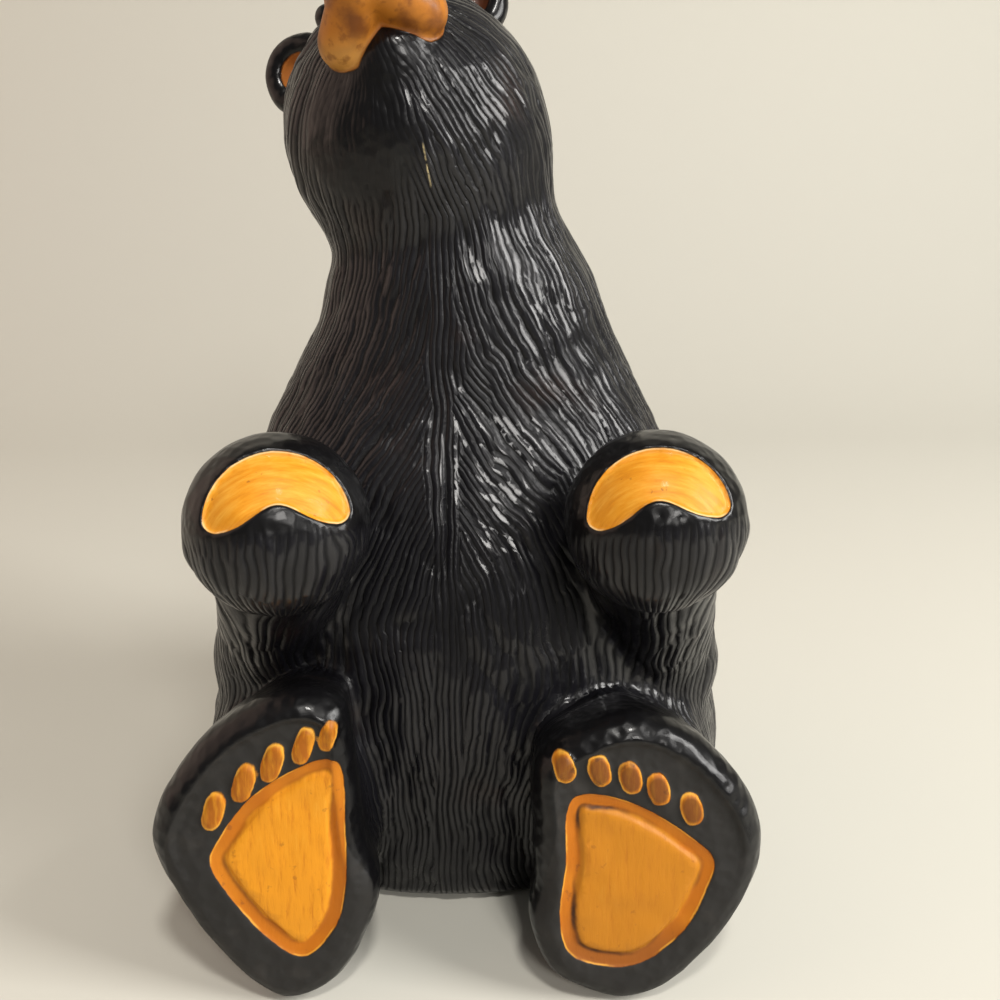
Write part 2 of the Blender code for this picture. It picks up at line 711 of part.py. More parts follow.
def main():
    for obj in list(bpy.data.objects):
        bpy.data.objects.remove(obj)
    group = bpy.data.collections.new("bear_figurine")
    bpy.context.scene.collection.children.link(group)
    bear = bpy.data.objects.new("bear", rough_figure())
    group.objects.link(bear)
    remesh = bear.modifiers.new("skin", "REMESH")
    remesh.mode = "VOXEL"
    remesh.voxel_size = GRID
    skin = evaluated_mesh(bear, "skin")
    bear.modifiers.remove(remesh)
    points = points_of(skin)
    edges = edges_of(skin)
    points = settle(points, 3)
    for _ in range(3):
        points = settle(points * 0.4 + evened(points, edges) * 0.6, 1)
    points = settle(points, 2)
    normals, _ = slope(points)
    way = fur_direction(points, normals)
    locks = combed(points, way_field(points, way), ((lattice(LOCK_WIDTH, 3), LOCK_LENGTH),))[0]
    height = np.clip(np.abs(locks)**0.8 - 0.8, -1.0, 1.0)
    points = points + normals * (LOCK_DEPTH * height * fur_amount(points))[:, None]
    points[:, 2] = np.maximum(points[:, 2], 0.0)
    points[:, :2] -= FLOOR_CENTRE
    points *= FIGURE_HEIGHT / DRAWN_HEIGHT / 1000.0
    skin.vertices.foreach_set("co", points.astype(np.float32).ravel())
    skin.update()
    bear.data = skin
    thin = bear.modifiers.new("facets", "DECIMATE")
    thin.ratio = TRIANGLES / (2.0 * len(skin.polygons))
    skin.materials.clear()
    skin.materials.append(material("black_gloss_paint", (0.018, 0.018, 0.021), 0.32))
    low, high = points.min(axis=0), points.max(axis=0)
    print("points", len(points), "low", low * 1000.0, "high", high * 1000.0)


main()
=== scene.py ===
# %% [markdown]
# # A seated bear, cast in one piece and painted
#
# The object is a seated bear about 245 mm high. A sculptor carved long locks of fur into the
# original, and the casting was painted glossy black with amber pads and charcoal soles.
# The whole figure is one piece, so this lesson makes one mesh. Its form comes first, then its fur,
# then its paint. The form could be sculpted by hand or joined from many meshes. Here it is described
# by distances to a few rounded masses, because such a form joins softly and can be measured anywhere.

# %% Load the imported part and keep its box
import math

import bmesh
import bpy
from mathutils import Matrix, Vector
import numpy as np


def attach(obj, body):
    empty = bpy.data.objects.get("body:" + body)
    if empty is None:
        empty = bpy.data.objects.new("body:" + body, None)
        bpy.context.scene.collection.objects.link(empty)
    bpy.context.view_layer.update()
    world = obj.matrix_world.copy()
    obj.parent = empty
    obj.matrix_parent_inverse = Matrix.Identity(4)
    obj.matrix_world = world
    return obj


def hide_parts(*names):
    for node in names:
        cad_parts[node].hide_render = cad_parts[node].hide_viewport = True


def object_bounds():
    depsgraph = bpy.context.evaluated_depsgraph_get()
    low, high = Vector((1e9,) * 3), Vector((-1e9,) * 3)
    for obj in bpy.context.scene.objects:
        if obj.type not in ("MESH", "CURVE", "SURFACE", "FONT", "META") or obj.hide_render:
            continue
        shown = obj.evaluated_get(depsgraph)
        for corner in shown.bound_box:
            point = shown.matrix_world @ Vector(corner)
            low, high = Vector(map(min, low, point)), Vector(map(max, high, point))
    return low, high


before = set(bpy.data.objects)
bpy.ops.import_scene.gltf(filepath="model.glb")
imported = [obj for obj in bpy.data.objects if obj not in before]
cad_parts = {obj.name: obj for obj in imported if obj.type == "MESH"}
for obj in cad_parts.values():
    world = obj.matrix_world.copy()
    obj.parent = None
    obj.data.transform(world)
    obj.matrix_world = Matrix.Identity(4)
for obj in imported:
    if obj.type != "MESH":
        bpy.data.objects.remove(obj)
CAD_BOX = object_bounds()
print("CAD box in metres:", [tuple(round(v, 4) for v in corner) for corner in CAD_BOX])

# %% [markdown]
# ## Sizes
#
# All lengths below are in millimetres. The masses of the body have the same sizes as the solid part,
# and the carving has sizes of its own. x runs to the viewer's right, y away from the viewer and z up.
# The figure is drawn at one height and finished at another, so one factor turns the drawing into the
# part.

# %% Sizes of the whole and of the carving
FIGURE_HEIGHT = 245.0
DRAWN_HEIGHT = 244.6
FLOOR_CENTRE = (1.85, -5.35)
TO_METRES = FIGURE_HEIGHT / DRAWN_HEIGHT / 1000.0
SKIN_GRID = 1.2
MOST_TRIANGLES = 192000
LOCK_WIDTH = 5.0
LOCK_LENGTH = 26.0
LOCK_DEPTH = 0.4
STROKE_PITCH = 1.6
STROKE_DEPTH = 0.5
HAND_SIZE = 4.5
HAND_DEPTH = 0.22
print("one drawn millimetre is", TO_METRES, "m")

# %% [markdown]
# ## Head, ears and face
#
# The head is thrown back, so the viewer sees the underside of the muzzle and the front of the chin.
# Its parts are placed on the head's own axes: to the side, towards the muzzle and towards the crown.

# %% Sizes of the head
HEAD_CENTRE = (-9.0, 15.0, 198.0)
HEAD_RADII = (34.5, 36.0, 35.0)
HEAD_LIFT = 48.0
HEAD_ROLL = 20.0
NECK_START = (4.0, 14.0, 150.0)
NECK_END = (-4.0, 15.0, 188.0)
NECK_RADII = (30.0, 29.0)
FACE_SHIFT = 2.0
SNOUT = (0.0, 32.0, 4.0)
SNOUT_RADII = (12.5, 21.0, 10.5)
JOWL_FRONT = (2.6, 47.0, -3.0)
JOWL_BACK = (9.6, 37.0, -4.0)
JOWL_RADIUS = 6.1
CHIN = (0.0, 26.5, -9.0)
CHIN_RADII = (10.0, 12.0, 6.6)
NOSE = (0.0, 52.0, 6.0)
NOSE_RADII = (8.0, 5.5, 5.5)
EYE = (12.5, 29.0, 18.0)
EYE_RADIUS = 3.2
SMOOTH_CHEEK = (-23.0, -17.0, 198.0)
SMOOTH_CHEEK_REACH = 20.0
EARS = ((25.5, 12.0, 24.0), (22.5, 12.0, 27.0))
EAR_FACING = (0.24, 0.87, -0.43)
EAR_RING = 7.6
EAR_RIM = 3.2
print("head radii", HEAD_RADII, "lifted", HEAD_LIFT, "and rolled", HEAD_ROLL, "degrees")

# %% [markdown]
# ## Arms and paws
#
# Each arm hangs from the shoulder to the elbow and comes forward to a raised paw. The side of the paw
# that faces the viewer carries a bean-shaped pad: a disc, cut off below by an arch with a notch.

# %% Sizes of the arms and paws
SHOULDERS = ((-45.0, 6.0, 104.0), (49.0, 6.0, 104.0))
ELBOWS = ((-52.0, -15.0, 60.0), (57.0, -15.0, 57.0))
PAWS = ((-41.0, -54.0, 115.5), (45.5, -54.0, 115.0))
WRIST_OFFSET = (0.0, 8.0, -3.0)
SHOULDER_RADIUS = 15.0
ELBOW_RADIUS = 14.5
WRIST_RADIUS = 17.5
PAW_RADIUS = 21.0
PAW_TIP = 19.5
PAW_LIFT = 21.0
PAW_TURNS = (11.0, -12.0)
BEAN_RADIUS = 15.8
BEAN_BASE = -1.2
BEAN_NOTCH = 5.2
BEAN_NOTCH_WIDTH = 7.0
BEAN_TILTS = (0.0, 10.0)
BEAN_SHIFTS = (0.0, 1.0)
BEAN_CORNER = 3.5
BEAN_DEPTH = 1.2
print("paws at", PAWS)

# %% [markdown]
# ## Legs and feet
#
# The soles face the viewer. Their outline and the outline of the big pad are too uneven for a formula,
# so each is a ring of stations, across and up from the middle of the sole, with a smooth curve through
# them.

# %% Sizes of the legs and feet
HIPS = ((-42.0, 6.0, 34.0), (46.0, 6.0, 34.0))
HIP_RADIUS = 28.0
ANKLE_RADIUS = 23.0
ANKLE_OFFSET = (0.0, 28.0, -3.0)
SOLE_LEAN = 10.0
SOLE_RIM = 6.0
SOLE_DEPTH = 1.6
FOOT_THICKNESS = 38.0
FOOT_TAPER = 7.0
FOOT_EDGE = 8.0
FOOT_CENTRES = ((-46.0, -75.0, 37.0), (43.5, -78.5, 35.0))
FOOT_OUTLINES = (
    ((20, 35), (21.5, 19), (23, 4), (26, -8), (22, -21.5), (14.5, -32.5), (3, -37), (-7, -31),
     (-18, -17), (-25.8, -2), (-27.8, 9), (-22.9, 20.5), (-13.4, 32), (-2, 39.5), (9, 42.3), (17, 40)),
    ((-22, 32), (-27, 25), (-27, 11), (-26.5, -4), (-28, -14), (-23, -27), (-11, -34), (-2, -35),
     (8, -30.5), (19.5, -18.5), (26.8, -5), (28.7, 7), (24.8, 18.6), (14.4, 30.7), (3, 37.3), (-8, 38.2)),
)
SOLE_PADS = (
    ((18, 24), (18.5, 9), (18.3, -4), (15.5, -15.5), (7.5, -23), (-1.5, -17), (-9, -7), (-13.2, 1),
     (-11.5, 6.5), (-4, 16.5), (5, 22.8), (13.5, 26.3)),
    ((-17, 19.5), (-19.3, 14), (-19.3, 3), (-20.8, -9), (-18.5, -20), (-8, -24), (1, -22), (9.5, -14),
     (14.2, -4.5), (15.7, 3), (9, 9.5), (0, 15.5), (-9, 19.2)),
)
PAD_CENTRES = ((3.0, 1.0), (-3.0, -3.0))
PAD_RIM = 3.3
PAD_GROOVE = 1.1
PAD_RISE = 1.0
TOE_ROWS = (
    ((1.9, 23.3), (13.7, 9.0), 2.0, (-1.0, -0.4, 0.11, 0.61, 0.98)),
    ((-4.8, 21.3), (15.0, -5.6), 2.6, (-1.0, -0.5, -0.03, 0.42, 1.0)),
)
TOE_SIZES = ((2.4, 4.9), (2.6, 4.1))
TOE_TILTS = (18.0, -16.0)
TOE_SCALES = ((1.0, 1.0, 1.0, 0.94, 0.78), (0.95, 1.0, 1.0, 1.0, 1.0))
TOE_SQUARENESS = 2.5
TOE_RISE = 1.0
print("soles", [len(ring) for ring in FOOT_OUTLINES], "stations")

# %% [markdown]
# ## Body
#
# The torso is a stack of rounded sections, wide at the haunches and narrow at the neck. A short tail
# sits at the back, low down, where the viewer of the picture can't see it.

# %% Sizes of the torso and tail
TAIL = (2.0, 62.0, 22.0)
TAIL_RADII = (10.0, 10.0, 9.0)
TORSO_SIDE = 2.0
TORSO_TOP = 172.0
TORSO_POWER = 2.2
TORSO = np.array((
    (0.0, 66.0, -45.0, 52.0),
    (12.0, 74.0, -48.0, 60.0),
    (28.0, 77.5, -50.0, 65.0),
    (42.0, 73.0, -51.0, 66.0),
    (60.0, 66.5, -50.0, 66.0),
    (80.0, 65.5, -46.0, 64.0),
    (100.0, 62.0, -39.0, 59.0),
    (118.0, 56.5, -31.0, 53.0),
    (138.0, 46.5, -22.0, 46.0),
    (155.0, 36.0, -15.0, 41.0),
    (172.0, 28.0, -11.0, 36.0),
))
print("torso stations", len(TORSO))

# %% [markdown]
# ## Joining soft masses
#
# A distance is negative inside a mass and positive outside. The smaller of two distances is the union
# of the two masses, and a small extra term near the seam fills it with a fillet, as clay does.

# %% Soft joins and corners


def unit(vector):
    vector = np.asarray(vector, float)
    return vector / np.linalg.norm(vector)


def soft_step(value, start, end):
    share = np.clip((value - start) / (end - start), 0.0, 1.0)
    return share * share * (3.0 - 2.0 * share)


def join(first, second, fillet):
    overlap = np.maximum(fillet - np.abs(first - second), 0.0) / fillet
    return np.minimum(first, second) - overlap**2 * fillet / 4.0


def meet(first, second, radius):
    inner = np.minimum(np.maximum(first, second) + radius, 0.0)
    outer = np.hypot(np.maximum(first + radius, 0.0), np.maximum(second + radius, 0.0))
    return inner + outer - radius


print("a join of two touching masses swells by", join(0.0, 0.0, 4.0), "mm")

# %% Axes of the head, the soles and the paws


def head_axes():
    lift = math.radians(HEAD_LIFT)
    roll = math.radians(HEAD_ROLL)
    turn = np.array((
        (math.cos(roll), 0.0, -math.sin(roll)),
        (0.0, 1.0, 0.0),
        (math.sin(roll), 0.0, math.cos(roll)),
    ))
    level = np.array((
        (1.0, 0.0, 0.0),
        (0.0, -math.cos(lift), math.sin(lift)),
        (0.0, math.sin(lift), math.cos(lift)),
    ))
    return level @ turn.T


def sole_frame():
    lean = math.radians(SOLE_LEAN)
    return np.array((
        (1.0, 0.0, 0.0),
        (0.0, math.sin(lean), math.cos(lean)),
        (0.0, -math.cos(lean), math.sin(lean)),
    ))


def paw_frame(which):
    lift = math.radians(PAW_LIFT)
    turn = math.radians(PAW_TURNS[which])
    out = np.array((math.sin(turn) * math.cos(lift), -math.cos(turn) * math.cos(lift), math.sin(lift)))
    across = unit(np.cross(out, (0.0, 0.0, -1.0)))
    tilt = math.radians(BEAN_TILTS[which])
    up = np.cross(across, -out)
    return np.array((
        across * math.cos(tilt) + up * math.sin(tilt),
        up * math.cos(tilt) - across * math.sin(tilt),
        out,
    ))


HEAD_AXES = head_axes()
SOLE_AXES = sole_frame()
PAW_AXES = (paw_frame(0), paw_frame(1))
WORLD_AXES = np.eye(3)


def on_head(place, flip=1.0):
    side, forward, up = place
    return np.array(HEAD_CENTRE) + np.array((FACE_SHIFT + flip * side, forward, up)) @ HEAD_AXES


print("the muzzle points", np.round(HEAD_AXES[1], 2))

# %% Balls, limbs and the torso


def ball(points, centre, axes, radii):
    local = (points - np.asarray(centre, float)) @ np.asarray(axes, float).T
    radii = np.asarray(radii, float)
    near = np.linalg.norm(local / radii, axis=1)
    steepness = np.linalg.norm(local / radii**2, axis=1)
    return near * (near - 1.0) / np.maximum(steepness, 1e-6)


def limb(points, start, end, start_radius, end_radius):
    start = np.asarray(start, float)
    along = np.asarray(end, float) - start
    share = np.clip((points - start) @ along / (along @ along), 0.0, 1.0)
    radius = start_radius + (end_radius - start_radius) * share
    return np.linalg.norm(points - start - share[:, None] * along, axis=1) - radius


def torso_sizes(height):
    steps = np.linspace(-7.0, 7.0, 5)
    level = np.clip(height, TORSO[0, 0], TORSO[-1, 0])
    return [
        np.mean([np.interp(level + step, TORSO[:, 0], TORSO[:, column]) for step in steps], axis=0)
        for column in (1, 2, 3)
    ]


TORSO_LEVELS = np.linspace(-20.0, 200.0, 2201)
TORSO_TABLE = torso_sizes(TORSO_LEVELS)


def torso(points):
    width, front, back = (np.interp(points[:, 2], TORSO_LEVELS, column) for column in TORSO_TABLE)
    middle = (front + back) / 2.0
    depth = (back - front) / 2.0
    across = np.abs(points[:, 0] - TORSO_SIDE) / width
    through = np.abs(points[:, 1] - middle) / depth
    near = (across**TORSO_POWER + through**TORSO_POWER)**(1.0 / TORSO_POWER)
    wall = (near - 1.0) * np.minimum(width, depth) * 0.93
    return meet(meet(wall, points[:, 2] - TORSO_TOP, 12.0), -points[:, 2], 5.0)


print("torso is", round(2 * TORSO[:, 1].max()), "mm wide at the haunches")

# %% [markdown]
# ## Outlines drawn through stations
#
# A Catmull-Rom curve passes through every station, so the stations can be read off the object. Stored
# as a radius at each angle, the ring gives a distance to the outline for any point of the sole.

# %% Outlines of the soles and pads


def ring_through(stations):
    rows = np.array(stations, float)
    before, after, beyond = np.roll(rows, 1, 0), np.roll(rows, -1, 0), np.roll(rows, -2, 0)
    curve = []
    for t in np.linspace(0.0, 1.0, 8, endpoint=False):
        curve.append(
            rows
            + 0.5 * t * (after - before)
            + t**2 * (before - 2.5 * rows + 2.0 * after - 0.5 * beyond)
            + t**3 * (1.5 * rows - 0.5 * before - 1.5 * after + 0.5 * beyond)
        )
    return np.stack(curve, axis=1).reshape(-1, 2)


def turning_radius(stations, centre):
    curve = ring_through(stations) - np.asarray(centre)
    angle = np.arctan2(curve[:, 1], curve[:, 0])
    order = np.argsort(angle)
    even = np.linspace(-math.pi, math.pi, 181)
    return even, np.interp(even, angle[order], np.hypot(*curve.T)[order], period=2.0 * math.pi)


FOOT_TURNS = [turning_radius(stations, (0.0, 0.0)) for stations in FOOT_OUTLINES]
PAD_TURNS = [turning_radius(stations, centre) for stations, centre in zip(SOLE_PADS, PAD_CENTRES)]


def outline(across, rise, turns):
    even, radii = turns
    angle = np.arctan2(rise, across)
    radius = np.interp(angle, even, radii)
    change = np.interp(angle, even, np.gradient(radii, even))
    return (np.hypot(across, rise) - radius) / np.sqrt(1.0 + (change / radius)**2)


print("soles reach", [round(float(turns[1].max()), 1) for turns in FOOT_TURNS], "mm from their middles")

# %% Feet with their pads and toes


def sole_places(points, which):
    return ((points - np.asarray(FOOT_CENTRES[which])) @ SOLE_AXES.T).T


def sole_pad(points, which):
    across, rise, _ = sole_places(points, which)
    centre = PAD_CENTRES[which]
    return outline(across - centre[0], rise - centre[1], PAD_TURNS[which])


def toe_places(points, which):
    across, rise, _ = sole_places(points, which)
    middle, half, bow, places = TOE_ROWS[which]
    turn = math.radians(TOE_TILTS[which])
    normal = unit((-half[1], half[0]))
    for place in places:
        x = across - middle[0] - half[0] * place - normal[0] * bow * (1.0 - place**2)
        y = rise - middle[1] - half[1] * place - normal[1] * bow * (1.0 - place**2)
        yield x * math.cos(turn) - y * math.sin(turn), x * math.sin(turn) + y * math.cos(turn)


def toes(points, which):
    width, height = TOE_SIZES[which]
    power = TOE_SQUARENESS
    each = []
    for scale, (u, v) in zip(TOE_SCALES[which], toe_places(points, which)):
        size = (np.abs(u / width)**power + np.abs(v / height)**power)**(1.0 / power)
        each.append((size - scale) * width)
    return np.min(each, axis=0)


def foot(points, which):
    across, rise, out = sole_places(points, which)
    edge = outline(across, rise, FOOT_TURNS[which])
    pad = -sole_pad(points, which)
    toe = -toes(points, which)
    upper = 0.3 + 0.7 * soft_step(rise, -8.0, 14.0)
    face = -SOLE_DEPTH * upper * soft_step(-edge, SOLE_RIM - 0.8, SOLE_RIM + 1.2)
    face = face - PAD_GROOVE * (0.5 * soft_step(pad, -0.3, 0.5) + 0.5 * soft_step(pad, 0.5, PAD_RIM))
    face = face + PAD_RISE * soft_step(pad, PAD_RIM, PAD_RIM + 0.9)
    face = face + TOE_RISE * soft_step(toe, -0.4, 0.9)
    taper = FOOT_TAPER * np.clip(-out / FOOT_THICKNESS, 0.0, 1.0)**2
    front = meet(edge + taper, out - face, FOOT_EDGE)
    return meet(front, -out - FOOT_THICKNESS, 8.0)


print("five toes on each foot, each", TOE_SIZES, "mm")

# %% Paws, arms, legs and ears


def bean(points, which):
    across, rise, _ = ((points - np.asarray(PAWS[which])) @ PAW_AXES[which].T).T
    across = across - BEAN_SHIFTS[which]
    disc = np.hypot(across, rise) - BEAN_RADIUS
    arch = BEAN_BASE + BEAN_NOTCH * np.exp(-(across / BEAN_NOTCH_WIDTH)**2) - rise
    return meet(disc, arch, BEAN_CORNER)


def paw(points, which):
    axes = PAW_AXES[which]
    base = ball(points, PAWS[which], axes, (PAW_RADIUS, PAW_RADIUS, PAW_TIP))
    front = soft_step((points - np.asarray(PAWS[which])) @ axes[2], 0.0, 4.0)
    return base + BEAN_DEPTH * front * soft_step(-bean(points, which), -0.3, 0.7)


def wrist(which):
    return np.asarray(PAWS[which]) + np.asarray(WRIST_OFFSET)


def ankle(which):
    return np.asarray(FOOT_CENTRES[which]) + np.asarray(ANKLE_OFFSET)


def arm(points, which):
    upper = limb(points, SHOULDERS[which], ELBOWS[which], SHOULDER_RADIUS, ELBOW_RADIUS)
    lower = limb(points, ELBOWS[which], wrist(which), ELBOW_RADIUS, WRIST_RADIUS)
    return join(upper, lower, 8.0)


def ear_facing(flip):
    return unit(np.array((flip * EAR_FACING[0], EAR_FACING[1], EAR_FACING[2])) @ HEAD_AXES)


def ear_centre(flip):
    return on_head(EARS[0] if flip < 0.0 else EARS[1], flip)


def ear_places(points, flip):
    offset = points - ear_centre(flip)
    out = offset @ ear_facing(flip)
    return np.sqrt(np.maximum((offset**2).sum(axis=1) - out**2, 0.0)), out


def ear(points, flip):
    round_, out = ear_places(points, flip)
    rim = np.hypot(round_ - EAR_RING, out) - EAR_RIM
    back = meet(round_ - EAR_RING, np.abs(out + 1.6) - 1.2, 1.0)
    return join(rim, back, 2.0)


print("ears are", 2 * (EAR_RING + EAR_RIM), "mm across")

# %% [markdown]
# ## A table of masses
#
# Most points of the skin are near only two or three masses. Each mass is listed with a box round it,
# and its distance is worked out only for points inside the box. That makes a fine skin quick to settle.

# %% The masses, each with the box that it is measured in
FILLET_REACH = 18.0
FAR = 1000.0


def box_round(spots, reach):
    spots = np.array(spots, float)
    return spots.min(axis=0) - reach - FILLET_REACH, spots.max(axis=0) + reach + FILLET_REACH


MASSES = {
    "torso": (*box_round(((-72, -51, 0), (76, 66, TORSO_TOP)), 4.0), torso),
    "neck": (
        *box_round((NECK_START, NECK_END), NECK_RADII[0]),
        lambda p: limb(p, NECK_START, NECK_END, *NECK_RADII),
    ),
    "head": (
        *box_round((HEAD_CENTRE,), max(HEAD_RADII)),
        lambda p: ball(p, HEAD_CENTRE, HEAD_AXES, HEAD_RADII),
    ),
    "tail": (*box_round((TAIL,), TAIL_RADII[0]), lambda p: ball(p, TAIL, WORLD_AXES, TAIL_RADII)),
}
BALLS = {"chin": (CHIN, CHIN_RADII), "snout": (SNOUT, SNOUT_RADII), "nose": (NOSE, NOSE_RADII)}
for name, (place, radii) in BALLS.items():
    MASSES[name] = (
        *box_round((on_head(place),), max(radii)),
        lambda p, place=place, radii=radii: ball(p, on_head(place), HEAD_AXES, radii),
    )
for side, flip in ((0, -1.0), (1, 1.0)):
    jaw = (on_head(JOWL_FRONT, flip), on_head(JOWL_BACK, flip))
    MASSES[f"jowl{side}"] = (
        *box_round(jaw, JOWL_RADIUS),
        lambda p, jaw=jaw: limb(p, *jaw, JOWL_RADIUS, JOWL_RADIUS),
    )
    MASSES[f"eye{side}"] = (
        *box_round((on_head(EYE, flip),), EYE_RADIUS),
        lambda p, flip=flip: ball(p, on_head(EYE, flip), HEAD_AXES, (EYE_RADIUS,) * 3),
    )
    MASSES[f"ear{side}"] = (
        *box_round((ear_centre(flip),), EAR_RING + EAR_RIM),
        lambda p, flip=flip: ear(p, flip),
    )
    MASSES[f"arm{side}"] = (
        *box_round((SHOULDERS[side], ELBOWS[side], wrist(side)), WRIST_RADIUS),
        lambda p, side=side: arm(p, side),
    )
    MASSES[f"paw{side}"] = (*box_round((PAWS[side],), PAW_RADIUS), lambda p, side=side: paw(p, side))
    MASSES[f"leg{side}"] = (
        *box_round((HIPS[side], ankle(side)), HIP_RADIUS),
        lambda p, side=side: limb(p, HIPS[side], ankle(side), HIP_RADIUS, ANKLE_RADIUS),
    )
    MASSES[f"foot{side}"] = (*box_round((FOOT_CENTRES[side],), 46.0), lambda p, side=side: foot(p, side))
print(len(MASSES), "masses")

# %% The whole form, and a way to bring points onto it
PAW_FILLET = 4.0
SIDE_FILLETS = {"jowl": 1.2, "eye": 0.8, "ear": 2.5, "arm": 4.0, "leg": 9.0, "foot": 4.0}
FILLETS = {"neck": 16.0, "head": 7.0, "tail": 5.0, "chin": 6.0, "snout": 4.0}
for side in (0, 1):
    FILLETS.update({f"{name}{side}": fillet for name, fillet in SIDE_FILLETS.items()})
FILLETS["nose"] = 1.5


def shapes(points):
    found = {}
    for name, (low, high, distance) in MASSES.items():
        near = np.flatnonzero(((points > low) & (points < high)).all(axis=1))
        found[name] = np.full(len(points), FAR)
        found[name][near] = distance(points[near])
    return found


def form(points):
    part = shapes(points)
    for side in (0, 1):
        part[f"arm{side}"] = join(part[f"arm{side}"], part[f"paw{side}"], PAW_FILLET)
    body = part["torso"]
    for name, fillet in FILLETS.items():
        body = join(body, part[name], fillet)
    return np.maximum(body, -points[:, 2])


def slope(points, step=0.2):
    """The way out of the form, the rate of rise that way, and the distance itself."""
    rise = np.zeros_like(points)
    level = np.zeros(len(points))
    for corner in ((1, 1, 1), (1, -1, -1), (-1, 1, -1), (-1, -1, 1)):
        value = form(points + np.array(corner) * step)
        rise += value[:, None] * corner / (4.0 * step)
        level += value / 4.0
    rate = np.linalg.norm(rise, axis=1)
    return rise / np.maximum(rate, 1e-6)[:, None], rate, level


def settle(points, rounds):
    for _ in range(rounds):
        normal, rate, level = slope(points)
        points = points - normal * np.clip(level / np.maximum(rate, 0.3), -2.0, 2.0)[:, None]
    return points


print("the chin is", round(float(form(np.array([on_head(CHIN)]))[0]), 1), "mm deep in the form")

# %% [markdown]
# ## A rough figure
#
# The skin starts as loose balls, limbs and lofts in one mesh. A voxel remesh wraps them in one closed
# skin of even squares, and each corner then moves onto the form. Starting from a mesh, and not from a
# block of voxels, keeps this quick.

# %% Rings of points for balls and limbs
BALL_AROUND = 32
BALL_UP = 20


def ring_faces(rings, around, first):
    """Squares between rings of points, and a face over each end ring."""
    faces = []
    for ring in range(rings - 1):
        for i in range(around):
            low = first + ring * around
            j = (i + 1) % around
            faces.append((low + i, low + j, low + around + j, low + around + i))
    faces.append(tuple(range(first + around - 1, first - 1, -1)))
    faces.append(tuple(range(first + (rings - 1) * around, first + rings * around)))
    return faces


def unit_ball():
    around = np.linspace(0.0, 2.0 * math.pi, BALL_AROUND, endpoint=False)
    up = np.linspace(-math.pi / 2.0, math.pi / 2.0, BALL_UP + 2)[1:-1]
    rings = []
    for angle in up:
        x, y = np.cos(around) * math.cos(angle), np.sin(around) * math.cos(angle)
        rings.append(np.stack((x, y, np.full(BALL_AROUND, math.sin(angle))), 1))
    return np.concatenate(rings)


UNIT_BALL = unit_ball()


def ball_rings(centre, axes, radii):
    return np.asarray(centre, float) + (UNIT_BALL * np.asarray(radii, float)) @ np.asarray(axes, float)


def limb_rings(start, end, start_radius, end_radius):
    for share in np.linspace(0.0, 1.0, 7):
        centre = np.asarray(start) * (1.0 - share) + np.asarray(end) * share
        yield ball_rings(centre, WORLD_AXES, (start_radius * (1.0 - share) + end_radius * share,) * 3)


print("a ball has", len(UNIT_BALL), "points")

# %% Rings for the torso and the feet
TORSO_AROUND = 48
FOOT_AROUND = 60


def torso_rings():
    angles = np.linspace(0.0, 2.0 * math.pi, TORSO_AROUND, endpoint=False)
    rings = []
    for height in np.linspace(0.5, TORSO_TOP - 2.0, 40):
        width, front, back = (column[0] for column in torso_sizes(np.array([height])))
        x = TORSO_SIDE + width * np.cos(angles)
        y = (front + back) / 2.0 + (back - front) / 2.0 * np.sin(angles)
        rings.append(np.stack((x, y, np.full(TORSO_AROUND, height)), axis=1))
    return np.concatenate(rings)


def foot_rings(which):
    angles = np.linspace(0.0, 2.0 * math.pi, FOOT_AROUND, endpoint=False)
    radius = np.interp(angles, *FOOT_TURNS[which], period=2.0 * math.pi)
    flat = np.stack((np.cos(angles), np.sin(angles), np.zeros_like(angles)), axis=1)
    rings = []
    for depth, inset in ((-FOOT_THICKNESS, 10.0), (-14.0, 1.5), (-8.0, 1.0), (-1.0, 6.0)):
        local = flat * (radius - inset)[:, None] + np.array((0.0, 0.0, depth))
        rings.append(np.asarray(FOOT_CENTRES[which]) + local @ SOLE_AXES)
    return np.concatenate(rings)


print("the torso has", len(torso_rings()), "points and a foot", len(foot_rings(0)))

# %% The rough figure as one object


def rough_shapes():
    """Each loose shape as its points and how many go round it."""
    yield torso_rings(), TORSO_AROUND
    single = [
        ball_rings(HEAD_CENTRE, HEAD_AXES, HEAD_RADII),
        ball_rings(TAIL, WORLD_AXES, TAIL_RADII),
        *limb_rings(NECK_START, NECK_END, *NECK_RADII),
    ]
    for place, radii in BALLS.values():
        single.append(ball_rings(on_head(place), HEAD_AXES, radii))
    for which, flip in enumerate((-1.0, 1.0)):
        single += limb_rings(on_head(JOWL_FRONT, flip), on_head(JOWL_BACK, flip), JOWL_RADIUS, JOWL_RADIUS)
        single.append(ball_rings(on_head(EYE, flip), HEAD_AXES, (EYE_RADIUS,) * 3))
        facing = ear_facing(flip)
        side = unit(np.cross(facing, (0.0, 0.0, 1.0)))
        axes = np.array((side, np.cross(side, facing), facing))
        reach = EAR_RING + EAR_RIM
        single.append(ball_rings(ear_centre(flip), axes, (reach, reach, EAR_RIM)))
        single += limb_rings(SHOULDERS[which], ELBOWS[which], SHOULDER_RADIUS, ELBOW_RADIUS)
        single += limb_rings(ELBOWS[which], wrist(which), ELBOW_RADIUS, WRIST_RADIUS)
        single.append(ball_rings(PAWS[which], PAW_AXES[which], (PAW_RADIUS, PAW_RADIUS, PAW_TIP)))
        single += limb_rings(HIPS[which], ankle(which), HIP_RADIUS, ANKLE_RADIUS)
        yield foot_rings(which), FOOT_AROUND
    for rings in single:
        yield rings, BALL_AROUND


